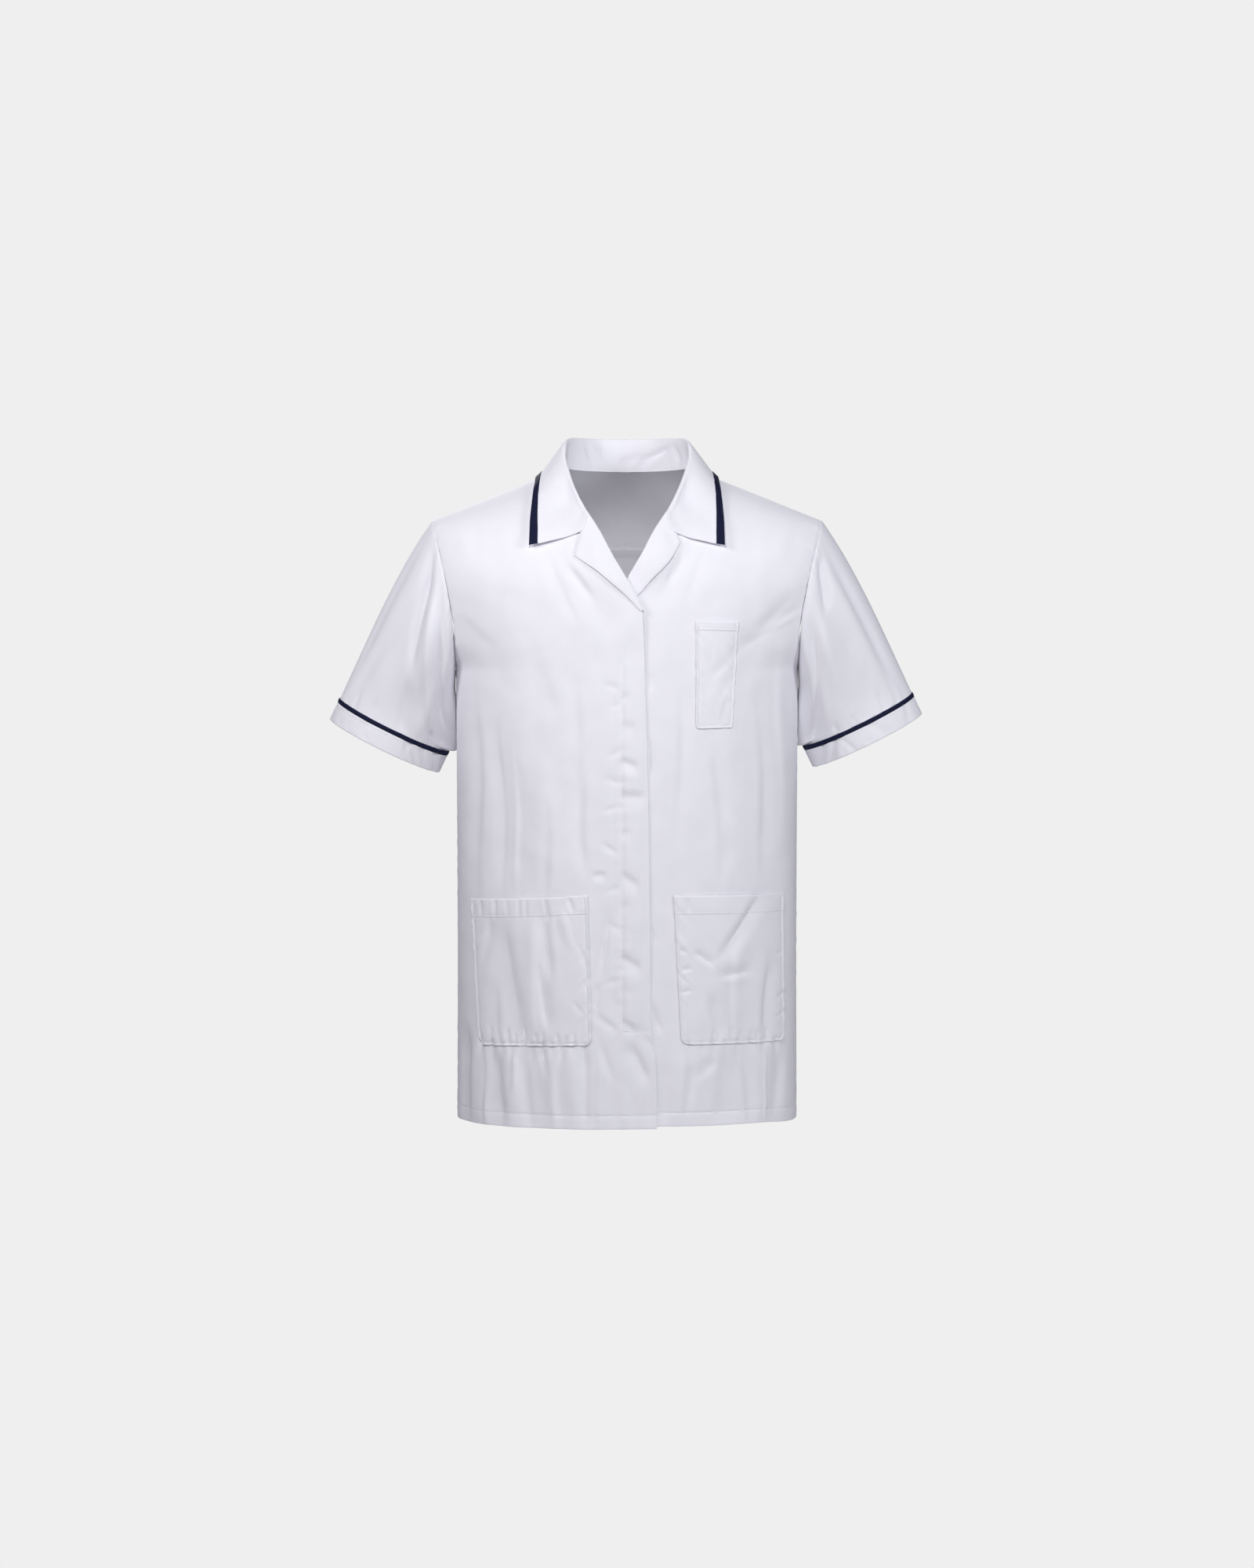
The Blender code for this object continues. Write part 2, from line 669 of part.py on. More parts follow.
def make_sleeve(side, name, points, outward, turn, shoulder_normals):
    """Sleeve, piping and cuff of one side."""
    grid = sleeve_grid(side, points, outward, turn)
    normals = ring_normals(grid)
    normals[0] = shoulder_normals
    shell("sleeve_" + name, trimmed(grid, bottom=SEAM / 2), normals, WALL, ring=True)

    fall = np.array(SLEEVE_HEM_OUTER) - np.array(SLEEVE_TOP_OUTER)
    depth = np.linalg.norm(fall)
    rings = {}
    for label, places, spread in (
        ("piping", (SEAM / 2, PIPING_DEPTH), 0.6),
        ("cuff", (PIPING_DEPTH + SEAM, depth * 0.5, depth), 0.3),
    ):
        band = []
        for place in places:
            share = place / depth
            outer_end = np.array(SLEEVE_TOP_OUTER) * (1 - share) + np.array(SLEEVE_HEM_OUTER) * share
            inner_end = np.array(SLEEVE_TOP_INNER) * (1 - share) + np.array(SLEEVE_HEM_INNER) * share
            band.append(sleeve_ring(side, outer_end, inner_end, turn, spread))
        rings[label] = np.array(band)
    piping_normals = ring_normals(rings["piping"])
    shell("piping_" + name, rings["piping"], piping_normals, PIPING_WALL, NAVY_CLOTH, ring=True)
    shell("cuff_" + name, rings["cuff"], ring_normals(rings["cuff"]), CUFF_WALL, ring=True)


def shoulder_mitre(side, points, outward, turn):
    """Normals that body and sleeve share over the shoulder, where their seam is convex."""
    sleeve = ring_normals(sleeve_grid(side, points, outward, turn))[0]
    over = between(np.cos(turn), 0.1, 0.7)[:, None]
    shared = unit(outward + sleeve)
    lean = np.clip(np.sum(shared * outward, axis=1), 0.6, 1.0)[:, None]
    shared = shared / lean
    return outward * (1 - over) + shared * over, sleeve * (1 - over) + shared * over


def neckline(grids):
    """Neck edge of one half from the centre back to the top of the roll line."""
    back = grids[BACK][NECK_BACK_ROW::-1, 0]
    front = grids[FRONT][1:ROLL_TOP_ROW + 1, 0]
    return np.concatenate([back, front])


def along_edge(points, shares):
    """Points at shares of an edge's vertex count, on the straight runs between vertices."""
    place = np.asarray(shares) * (len(points) - 1)
    return np.stack([np.interp(place, np.arange(len(points)), points[:, c]) for c in range(3)], -1)


def collar_half(side, edge, tree):
    """Sections of half the collar from the centre back to its front edge."""
    shares = np.linspace(0.0, 1.0, COLLAR_STATIONS)
    mirror = np.array([side, 1.0, 1.0])
    seam = along_edge(edge, shares)
    roll = curve_point(COLLAR_ROLL, shares) * mirror
    outer = curve_point(COLLAR_EDGE, shares) * mirror
    notch = np.array([GORGE_NOTCH[0] * side, 0.0, GORGE_NOTCH[1]])
    sections = []
    for station, share in enumerate(shares):
        foot = seam[station] + unit(roll[station] - seam[station]) * COLLAR_FOOT
        top = roll[station]
        edge_point = outer[station]
        away = edge_point - top
        away[2] = 0.0
        away = unit(away)
        section = [foot + (top - foot) * step for step in COLLAR_STAND_STEPS]
        section.append(top + away * ROLL_RADIUS * 0.5 + np.array([0.0, 0.0, ROLL_RADIUS * 0.45]))
        shoulder = top + away * ROLL_RADIUS * 1.6
        corner = between(share, GORGE_FROM_STATION, 1.0)
        for step in COLLAR_FALL_STEPS:
            if step < GORGE_NOTCH_AT:
                bow = step / GORGE_NOTCH_AT
            else:
                bow = (1.0 - step) / (1.0 - GORGE_NOTCH_AT)
            section.append(shoulder + (edge_point - shoulder) * step + notch * corner * bow)
        sections.append(section)
    grid = np.array(sections)
    stand = len(COLLAR_STAND_STEPS)
    clearance = np.full(grid.shape[:2], -50.0)
    clearance[:, stand + 1:] = COLLAR_HOVER
    return kept_clear(grid, tree, clearance)


def make_collar(edges, tree):
    right = collar_half(RIGHT, edges[RIGHT], tree)
    left = collar_half(LEFT, edges[LEFT], tree)
    grid = np.concatenate([right[::-1], left[1:]])
    normals = grid_normals(grid, np.zeros_like(grid))
    fall = slice(len(COLLAR_STAND_STEPS) + 3, None)
    out = grid[:, fall] - np.array([0.0, 0.0, -120.0])
    if np.sum(normals[:, fall] * out) < 0.0:
        normals = -normals
    shell("collar", grid, normals, WALL)
    return grid, normals


def make_collar_tape(grid, normals):
    """Tape that lies on the collar just inside its outer edge."""
    inward = grid[:, -2] - grid[:, -1]
    reach = np.linalg.norm(inward, axis=1)[:, None]
    strip = []
    facing = []
    for distance in (TAPE_INSET, TAPE_INSET + TAPE_WIDTH):
        share = distance / reach
        normal = unit(normals[:, -1] * (1.0 - share) + normals[:, -2] * share)
        facing.append(normal)
        strip.append(grid[:, -1] + inward * share + normal * (LAY_GAP + TAPE_WALL))
    shell("collar_tape", np.array(strip), np.array(facing), TAPE_WALL, NAVY_CLOTH)


def laid_on_front(side, x, z, height, wall, tree):
    """Points and normals at a height over the outer face of a front."""
    normal = body_normal(side, FRONT, x, z)
    points = body_point(side, FRONT, x, z) + normal * height[..., None]
    return kept_clear(points, tree, LAY_GAP + np.broadcast_to(wall, height.shape)), normal


def make_lapel(side, name, tree):
    """Turned-back revers: rows run from the roll line to its outer edge."""
    edge = FRONT_ROWS[ROLL_TOP_ROW:BREAK_ROW + 1]
    along = np.linspace(0.0, 1.0, LAPEL_ROWS)[:, None]
    across = np.linspace(0.0, 1.0, LAPEL_COLUMNS)[None, :]
    roll = curve_point(edge, along[:, 0])[:, None, :2]
    outer = curve_point(LAPEL_EDGE[side], along[:, 0])[:, None, :]
    place = roll + (outer - roll) * across[..., None]
    x = place[..., 0] - GORGE_GAP * (along == 0.0)
    fade = 1.0 - between(along, *LAPEL_LIFT_ENDS[side])
    lift = LAPEL_LIFT[side] * np.sin(math.pi * 0.68 * across) * fade
    height = LAY_GAP + WALL + lift
    points, normal = laid_on_front(side, x, place[..., 1], height, WALL, tree)
    shell("lapel_" + name, points, normal, WALL)


def make_pocket(
    name, tree, side, inner_top, outer_top, inner_low, outer_low, hem, corner, bulge, columns, rows
):
    """Patch pocket: a raised hem at its mouth, round lower corners, a little fullness."""
    depth = inner_top[1] - inner_low[1]
    middle = np.linspace(hem + 0.6, depth - corner, rows)
    distance = np.concatenate([[0.0, hem - 0.6], middle, depth - corner * np.array([0.45, 0.12, 0.0])])
    share = (distance / depth)[:, None]
    from_low = np.clip(corner - (depth - distance), 0.0, corner)[:, None]
    inset = corner - np.sqrt(corner ** 2 - from_low ** 2)
    across = np.linspace(0.0, 1.0, columns + 1)[None, :]
    inner = np.array(inner_top) * (1.0 - share) + np.array(inner_low) * share
    outer = np.array(outer_top) * (1.0 - share) + np.array(outer_low) * share
    start = inner[:, :1] + inset
    x = start + (outer[:, :1] - inset - start) * across
    z = inner[:, 1:] + (outer[:, 1:] - inner[:, 1:]) * across
    rise = POCKET_HEM_RISE * (distance < hem)[:, None]
    height = LAY_GAP + WALL + rise + bulge * np.sin(math.pi * across) * (1.0 - share ** 2)
    points, normal = laid_on_front(side, x, z, height, WALL + rise, tree)
    shell(name, points, normal, WALL + rise)


def make_body(grids, normals):
    """Fronts, back and yoke."""
    for side, name in ((RIGHT, "right"), (LEFT, "left")):
        front = trimmed(grids[side][FRONT], top=SEAM / 2)
        front[UNDERARM_ROW[FRONT]:, -1] += (0.0, -SEAM / 2, 0.0)
        shell("front_" + name, front, normals[side][FRONT], hem_wall(front))

    yoke = []
    for side in (RIGHT, LEFT):
        outer = trimmed(grids[side][BACK][:YOKE_ROW + 1], top=SEAM / 2, bottom=SEAM / 2)
        yoke.append((outer, outer - normals[side][BACK][:YOKE_ROW + 1] * WALL))
    wall_solid("back_yoke", yoke, WHITE_CLOTH)

    back = np.concatenate([grids[RIGHT][BACK][:, ::-1], grids[LEFT][BACK][:, 1:]], axis=1)
    back_normals = np.concatenate([normals[RIGHT][BACK][:, ::-1], normals[LEFT][BACK][:, 1:]], axis=1)
    low = trimmed(back[YOKE_ROW:], top=SEAM / 2)
    below_arm = UNDERARM_ROW[BACK] - YOKE_ROW
    for edge in (0, -1):
        low[below_arm:, edge] += (0.0, SEAM / 2, 0.0)
    shell("back_panel", low, back_normals[YOKE_ROW:], hem_wall(low))


def make_all():
    for found in list(bpy.data.objects):
        bpy.data.objects.remove(found, do_unlink=True)
    collection = bpy.data.collections.new(COLLECTION)
    bpy.context.scene.collection.children.link(collection)

    grids = {}
    normals = {}
    for side, name in ((RIGHT, "right"), (LEFT, "left")):
        grids[side], normals[side] = half_body(side)
        points, outward, turn = armhole_loop(side, grids[side], normals[side])
        body_mitre, sleeve_mitre = shoulder_mitre(side, points, outward, turn)
        front_low = UNDERARM_ROW[FRONT]
        back_low = UNDERARM_ROW[BACK]
        normals[side][FRONT][:front_low + 1, -1] = body_mitre[:front_low + 1]
        normals[side][BACK][0, -1] = body_mitre[0]
        normals[side][BACK][back_low - 1:0:-1, -1] = body_mitre[front_low + 1:]
        make_sleeve(side, name, points, outward, turn, sleeve_mitre)

    fronts = {side: surface_tree([grids[side][FRONT]]) for side in (RIGHT, LEFT)}
    for side, name in ((RIGHT, "right"), (LEFT, "left")):
        make_lapel(side, name, fronts[side])

    make_body(grids, normals)
    tree = surface_tree([grids[side][face] for side in (RIGHT, LEFT) for face in (FRONT, BACK)])
    collar, collar_normals = make_collar({side: neckline(grids[side]) for side in (RIGHT, LEFT)}, tree)
    make_collar_tape(collar, collar_normals)
    for name, sizes in POCKETS.items():
        make_pocket(name, fronts[sizes["side"]], **sizes)


make_all()
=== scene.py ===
"""Looks of the medical tunic: thin cloth with its creases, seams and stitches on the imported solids.

The tables are in millimetres, and the scene is in metres. x grows from the centre of the
tunic towards a side: side is -1 for the wearer's right (viewer's left) and +1 for the left.
face is -1 for the front of the body and +1 for the back.
"""

import math

import bmesh
import bpy
import numpy as np
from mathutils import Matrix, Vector
from mathutils.bvhtree import BVHTree


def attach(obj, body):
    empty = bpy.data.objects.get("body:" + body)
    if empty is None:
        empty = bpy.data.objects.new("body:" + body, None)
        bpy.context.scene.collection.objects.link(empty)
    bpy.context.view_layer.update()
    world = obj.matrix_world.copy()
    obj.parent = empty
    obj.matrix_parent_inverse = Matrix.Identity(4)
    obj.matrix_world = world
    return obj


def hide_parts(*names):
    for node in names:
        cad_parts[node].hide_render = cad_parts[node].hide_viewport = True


MM = 0.001
TURN = 2 * math.pi
RIGHT = -1
LEFT = 1
FRONT = -1
BACK = 1
SIDES = {RIGHT: "right", LEFT: "left"}

# Camera as in the photograph, in metres.
CAMERA_PLACE = (0.0, -4.5, -0.10)
CAMERA_AIM = (0.0, 0.0, -0.3627)
FRAME_HEIGHT_AT_AIM = 1.8
SENSOR = 36.0

# Thickness of the cloth and of its folded edges, and the size of the meshes' cells.
CLOTH = 0.8
EDGE_CLOTH = 1.1
COLLAR_CLOTH = 1.1
PIPING_CLOTH = 1.6
CUFF_CLOTH = 1.7
TAPE_CLOTH = 0.55
MESH_STEP = 2.4
BACK_MESH_STEP = 4.2
SLEEVE_MESH_STEP = 2.6
CUFF_MESH_STEP = 2.2
LAPEL_MESH_STEPS = (2.2, 2.0)
POCKET_MESH_STEP = 1.6
# Length for which the columns of a half panel are worked out.
HALF_ROUND = 300.0
# Distances from an edge or a seam at which the meshes have extra rows or columns.
HEM_STEPS = (0.25, 0.7, 13.3, 14.2, 15.8, 16.7)
FREE_EDGE_STEPS = (0.0, 0.25, 0.7) + tuple(np.arange(2.0, 36.0, 1.7))
SEAM_STEPS = (0.0, 0.5, 1.2, 2.1, 3.4)
CUFF_STEPS = (0.0, 0.25, 0.7, 2.0)
LAPEL_STEPS = (0.0, 0.3, 0.9)
POCKET_EDGE_STEPS = (0.0, 0.25, 0.7, 1.4, 2.2, 3.0, 3.8, 4.8)
POCKET_HEM_STEPS = (-1.6, -0.8, 0.0, 0.8, 1.6)
# The same along the collar, with its cells, in its sections, and across the tape, in shares of its width.
COLLAR_MESH_STEPS = (0.33, 0.22)
COLLAR_ROW_STEPS = (0.0, 0.03, 0.09, 0.2)
COLLAR_EDGE_STEPS = (0.0, 0.02, 0.06, 0.14, 0.24)
TAPE_STEPS = (0.0, 0.04, 0.12, 0.22, 0.5, 0.78, 0.88, 0.96, 1.0)

# Shoulders and neck
SHOULDER_SLOPE = 0.408
NECK_HALF_WIDTH = 70.0
NECK_ROUNDING = 30.0
SHOULDER_TIP_X = 222.0
NECK_EDGE_X = 72.0
SIDE_SEAM_Y = 4.0
UNDERARM_Z = -232.0
SECTION_POWER = 2.2
# How the front and back fall away from the shoulder ridge, at the neck and at the tip.
RIDGE_Y = (12.0, 3.0)
RIDGE_POWER = (1.25, 2.0)
ARCH_DROP = {FRONT: (140.0, 78.0), BACK: (100.0, 75.0)}

# Cross-sections of the body: height, half width, front depth, back depth.
SECTIONS = (
    (0, 243, 104, 106), (-61, 243, 108, 110), (-100, 241, 112, 114), (-130, 238, 115, 117),
    (-165, 227, 119, 118.5), (-200, 211, 122, 119), (-232, 196, 124, 119), (-330, 195.5, 127, 117),
    (-443, 195, 126.5, 115), (-560, 194.8, 125, 116), (-660, 195.2, 123.5, 118),
    (-746, 195.6, 121.5, 120),
)
# Armhole edges: height, distance from the centre.
ARMHOLE = {
    FRONT: (
        (-60.3, 222), (-93, 213.5), (-111, 209), (-133, 204), (-160, 199), (-185, 196.2), (-210, 195.6),
        (-232, 196),
    ),
    BACK: (
        (-60.3, 222), (-93, 217), (-133, 210.5), (-160, 205.5), (-185, 201), (-210, 197.6), (-232, 196),
    ),
}
# Rows of the front, shoulder seam to hem: edge x, edge height, side height.
FRONT_ROWS = (
    (72, -0.75, -60.3), (71.5, -9, -64), (68, -20, -73), (61.5, -32, -87), (53.5, -44, -104),
    (43, -55, -121), (30, -75, -139), (17.3, -99, -158), (-0.6, -130, -179), (-17, -162, -205),
    (-19.5, -205, -232), (-21, -255, -270), (-22.5, -305, -314), (-23.5, -352, -358), (-24.3, -398, -402),
    (-25, -443, -446), (-25.5, -488, -490), (-26, -533, -535), (-26.4, -578, -580), (-27, -624, -626),
    (-32, -666, -668), (-34, -727, -729), (-34, -729, -731), (-33.4, -744, -746),
)
UNDER_EDGE_X = -21.0
UNDER_EDGE_ROW = 10
ROLL_TOP_ROW = 5
BREAK_ROW = 9
UNDERARM_ROW = {FRONT: 10, BACK: 11}
# Rows of the back, the same way.
BACK_ROWS = (
    (72, -0.75, -60.3), (57, -2.2, -64), (39, -3.2, -72), (19, -3.8, -82), (0, -4, -92), (0, -48, -99),
    (0, -94, -106), (0, -128, -130), (0, -160, -156), (0, -190, -182), (0, -218, -208), (0, -246, -232),
    (0, -275, -270), (0, -316, -314), (0, -359, -358), (0, -402, -402), (0, -446, -446), (0, -490, -490),
    (0, -535, -535), (0, -580, -580), (0, -626, -626), (0, -668, -668), (0, -729, -729), (0, -731, -731),
    (0, -746, -746),
)
NECK_BACK_ROW = 4
YOKE_ROW = 6

# The right front lies on the left one and its lapel: how far out, and where it comes down.
OVERLAP_LIFT = 1.1
OVERLAP_FROM = (70.0, 125.0)
OVERLAP_END = (25.0, 75.0)
LAPEL_BULK = 3.6
BULK_FROM = (105.0, 134.0)
BULK_END = (168.0, 225.0)

# Largest folds of the body: x and z of both ends, half width, depth.
BODY_FOLDS = {
    (RIGHT, FRONT): (
        (62, -118, 12, -190, 16, -2.6), (140, -300, 128, -480, 20, -3), (95, -330, 88, -470, 16, 2.2),
        (120, -560, 105, -744, 18, -2.6), (60, -660, 50, -744, 16, 2.6),
    ),
    (LEFT, FRONT): (
        (70, -95, 30, -160, 15, -2.2), (125, -215, 195, -158, 17, -3), (120, -560, 130, -744, 20, -2.6),
        (70, -650, 62, -744, 15, 2.4),
    ),
    (RIGHT, BACK): (
        (60, -150, 30, -330, 24, -3), (90, -520, 100, -746, 24, -3.4), (150, -230, 110, -330, 18, -2.6),
    ),
    (LEFT, BACK): (
        (75, -170, 40, -380, 24, -3), (85, -480, 95, -746, 24, -3.4), (8, -420, 14, -746, 26, 3.4),
        (155, -240, 118, -350, 18, -2.6),
    ),
}
# Finer creases of the body, with the same columns.
BODY_CREASES = {
    (RIGHT, FRONT): (
        # drag lines under the collar and lapels
        (66, -112, 40, -150, 6, -2.6), (88, -104, 58, -168, 8, -2.2),
        # drags from the chest to the armholes
        (150, -205, 190, -172, 12, -1.5), (100, -228, 84, -274, 17, -1.9),
        # long soft falls of the right front
        (146, -300, 140, -470, 7, -2.5), (128, -330, 124, -480, 6, 1.8), (92, -380, 90, -480, 8, -2),
        (60, -250, 52, -430, 9, -1.6), (172, -260, 168, -480, 9, -2.2),
        # front edge below the placket
        (-22, -640, -36, -664, 5, -2.5), (4, -700, 0, -744, 8, 2),
        # skirt below the pockets
        (182, -650, 181, -744, 9, -4.4), (161, -664, 159, -744, 4, 2.2), (146, -660, 143, -744, 13, -5.4),
        (129, -664, 129, -704, 3.6, 2.4), (114, -664, 110, -744, 8, -2.6),
        (98, -657, 93, -684, 3.4, -2.8), (82, -668, 80, -744, 7, 2.4), (49, -657, 44, -738, 7.5, -5),
        (31, -664, 29, -744, 7, 2.2),
        # through both layers at the hip pockets
        (90, -498, 88, -572, 8, -3.8), (95, -566, 88, -632, 8, -2.8), (134, -520, 126, -648, 15, -5.4),
        (106, -520, 104, -640, 8, 2.4), (155, -508, 163, -566, 6, -2.2), (150, -586, 146, -640, 8, -2.8),
        (70, -500, 60, -540, 6, 2.2), (54, -536, 46, -562, 4, -1.4), (58, -600, 48, -614, 4, -1),
        (166, -636, 166, -656, 2.6, -1.8), (154, -632, 154, -656, 2.6, -2),
        (145, -638, 144, -656, 2.4, -1.8), (134, -634, 134, -656, 2.6, -2),
        (126, -640, 125, -656, 2.2, -1.6), (117, -632, 117, -656, 2.8, -2.2),
        (103, -638, 103, -655, 2.6, -2), (94, -636, 94, -655, 2.4, -1.6), (79, -638, 79, -654, 2.8, -1.8),
        (69, -640, 69, -654, 2.4, -1.5), (61, -636, 60, -654, 2.6, -1.6),
        # beside the placket, and more of the skirt
        (23, -498, 29, -568, 4.6, -3.2), (32, -582, 33, -614, 4.2, -2.8), (36, -616, 12, -634, 6, -1.7),
        (31, -648, 17, -688, 5, -2.2), (38, -458, 24, -456, 6, -2), (50, -350, 48, -450, 8, -2.6),
        (-2, -652, -22, -692, 9, -3.2), (186, -640, 187, -744, 8, -2.6),
    ),
    (LEFT, FRONT): (
        # drag lines under the collar and lapels
        (62, -100, 44, -132, 6, -2.6), (84, -98, 70, -150, 9, -2),
        # drags from the chest to the armholes
        (118, -210, 192, -164, 8, -2.2), (140, -196, 190, -168, 6, 1.2), (150, -182, 186, -150, 8, -1.4),
        # long soft falls of the left front
        (100, -320, 108, -470, 10, -2), (150, -260, 158, -470, 9, -2.5), (62, -240, 58, -420, 8, -1.6),
        (172, -210, 176, -400, 7, 1.8),
        # skirt below the pockets
        (78, -692, 98, -670, 10, -2.2), (171, -660, 170, -736, 9, -3.2),
        # through both layers at the hip pockets
        (150, -484, 104, -546, 9, -4.4), (104, -572, 138, -566, 8, -2.8), (76, -546, 94, -562, 6, -2.2),
        (58, -544, 68, -546, 3.6, -1), (60, -566, 72, -562, 3.8, -1.3), (60, -590, 72, -588, 3.6, -1.1),
        (176, -548, 168, -552, 3.4, -0.9), (178, -594, 168, -602, 3.6, -1.3),
        (178, -616, 168, -624, 3.6, -1.1), (160, -560, 158, -646, 8, -3.4),
        (94, -596, 102, -644, 8, -2.4), (122, -540, 126, -640, 8, 2.2), (140, -636, 140, -652, 2.6, -2),
        (69, -636, 69, -652, 2.6, -1.6), (96, -634, 96, -652, 2.6, -1.8),
        (103, -638, 103, -652, 2.2, -1.6), (118, -632, 118, -652, 2.8, -2),
        (129, -636, 128, -652, 2.4, -1.8), (147, -638, 147, -652, 2.4, -1.6),
        (158, -634, 158, -652, 2.6, -1.8),
        # beside the placket, and more of the skirt
        (27, -232, 27, -250, 3.5, -1.8), (27, -304, 27, -344, 4, -2.2), (26, -518, 30, -534, 3, -2),
        (28, -604, 37, -634, 4, -2.8), (70, -660, 66, -744, 6, -2.6), (156, -660, 157, -744, 1.6, 1.6),
        (132, -662, 138, -740, 7, -2.6), (40, -668, 44, -744, 8, -1.8), (110, -666, 116, -744, 15, -2.6),
    ),
    (RIGHT, BACK): (
        (46, -112, 40, -230, 7, -2.8), (100, -118, 118, -210, 8, -2.5), (188, -210, 120, -268, 7, -3.6),
        (160, -330, 150, -600, 9, -2.8), (70, -400, 62, -746, 9, -3), (36, -560, 30, -746, 8, 2.8),
        (128, -600, 132, -746, 7, -3),
    ),
    (LEFT, BACK): (
        (54, -112, 50, -260, 8, -3), (110, -120, 128, -220, 7, -2.5), (188, -205, 128, -272, 8, -3.8),
        (150, -360, 158, -640, 10, -3), (52, -430, 48, -746, 8, 2.5), (120, -560, 124, -746, 8, -3.3),
    ),
}
# How folds and creases end: distances from the side, the shoulder and the back's middle.
FOLD_FADES = ((4.0, 34.0), (20.0, 80.0), 18.0)
CREASE_FADES = ((0.0, 8.0), (5.0, 40.0), 12.0)
# How a crease's line wanders and its depth swells, with wave lengths in its half widths.
WANDER = 0.3
WANDER_WAVE = 4.0
SWELL = 0.2
SWELL_WAVE = 3.0
# How much steeper one side of a crease is, and how high the cloth rises beside it.
STEEP_SIDE = 0.74
BESIDE_SHARE = 0.75
# Puckers that the hip pockets' lower seams pull: x, reach down, half width, depth.
POCKET_PUCKERS = {
    RIGHT: (
        (166, 20, 2.6, 1.5), (154, 34, 3.2, 1.9), (141, 16, 2.4, 1.2), (130, 26, 2.8, 1.6),
        (119, 14, 2.2, 1.1), (108, 30, 3.2, 1.8), (95, 22, 2.6, 1.7), (84, 14, 2.4, 1),
        (73, 26, 2.6, 1.5), (60, 16, 2.4, 1.1), (48, 34, 3, 1.6),
    ),
    LEFT: (
        (70, 24, 3, 1.5), (84, 15, 2.4, 1), (97, 30, 3, 1.6), (112, 18, 2.4, 1.2), (126, 28, 3, 1.6),
        (141, 14, 2.4, 1), (155, 22, 2.6, 1.3), (169, 26, 3, 1.4),
    ),
}
POCKET_LOW_Z = {RIGHT: -653.0, LEFT: -650.5}
POCKET_PUCKER_LEAN = 0.06
POCKET_PUCKER_ABOVE = (1.0, 9.0)
# Weak unevenness of the cloth: wave length across and down in millimetres, turn, height.
RIPPLES = (
    (61, 240, 0.4, 0.34), (37, 170, 1.9, 0.22), (83, 97, 3.1, 0.30), (23, 131, 4.4, 0.11),
)

# Placket: stitch line as x and height, its bar, and the inner edge of the facing.
PLACKET_STITCH = ((3.0, -194.0), (5.0, -300.0), (4.6, -450.0), (4.4, -633.0))
PLACKET_BAR_Z = -633.0
PLACKET_BAR_END_X = -24.0
PLACKET_PUFF = 1.7
STITCHED = ((196.0, 206.0), (632.0, 634.0))
PUFFED = ((205.0, 232.0), (622.0, 634.0))
FACED = ((205.0, 225.0), (620.0, 640.0))
FACING_INSET = 11.0
FACING_DIP = 0.3
FACING_DIP_WIDTH = 1.6
# Pulls at the placket's hidden fastenings: height on the stitch line, depth, fall towards
# the free edge for each millimetre, half width, reach.
PLACKET_PULLS = (
    (-258, 1.3, 0.05, 4.2, 8), (-291, 1.4, 0.15, 7.2, 16), (-331, 2.5, 0.34, 5.5, 20),
    (-369.5, 2.4, 0.03, 6.5, 30), (-411, 1.2, 0, 6, 12), (-459, 2.4, 0.62, 6.5, 21),
    (-492, 1, 0.1, 4.7, 9), (-552, 2.7, 0.52, 6.8, 24), (-590, 0.8, 0.2, 7.8, 14),
    (-623, 2, 0.6, 5.5, 15),
)
# Puckers beside the stitch line: own x, height, slant, half width, depth.
PLACKET_PUCKERS = (
    (17, -247, -0.3, 3.2, 1.6), (12, -268, 0.2, 3, 0.9), (14, -322, 0.4, 3.4, 1),
    (17, -352, -0.2, 3.6, 0.9), (19, -384, 0.3, 3, 1.1), (20, -428, -0.6, 3.8, 1.7),
    (15, -474, 0.2, 3.2, 0.9), (14, -516, -0.4, 4, 1.1), (16, -578, 0.3, 4, 1.2),
)
PUCKER_REACH = 7.0
# Strip of the placket that puffs, and how a pull starts and how unlike its two sides are.
STRIP_AT_LINE = (-3.0, 0.5)
STRIP_AT_EDGE = (-22.0, -14.0)
PULL_START = (-2.5, 1.0)
PULL_SIDES = (0.8, 1.5)
# The right front's free edge stands a little off the left one, whose hem hangs higher.
CALM_EDGE = (1.0, 14.0)
CALM_SHARE = 0.35
FREE_EDGE_LIFT = 0.8
FREE_EDGE_REACH = 6.0
BELOW_BREAK = (175.0, 215.0)
FREE_FOLD = (22.0, 26.0)
UNDER_TUCK = 2.6
TUCK_FROM = (150.0, 190.0)
UNDER_HEM_RISE = 3.2
HEM_RISE_FROM = (652.0, 716.0)
HEM_RISE_END = (150.0, 192.0)

# Seams and hem: dip at a seam, reach and height of its gathers, the hem's stitch line.
SEAM_DIP = 0.5
SEAM_DIP_WIDTH = 1.9
SEAM_GATHER_REACH = 7.0
SEAM_GATHER = 0.4
GATHER_WAVES = ((11.0, 0.6), (17.0, 1.0), (29.0, 0.8))
GATHER_SHIFT = 5.0
GATHER_SHIFT_WAVE = 23.0
GATHER_SWELL = 0.45
GATHER_SWELL_WAVE = 37.0
GROOVE_WIDTH = 1.3
GROOVE_DEPTH = 0.45
EDGE_LINE_DIP = 0.3
HEM_STITCH_ABOVE = 15.0
HEM_FOLD = (14.0, 16.5)
HEM_GATHER_REACH = 5.0
HEM_FLARE = 1.8
FLARE_END = (125.0, 180.0)
YOKE_TURNING = 1.3
YOKE_TURNED = (6.0, 8.5)
EDGE_ROUNDING = 0.7

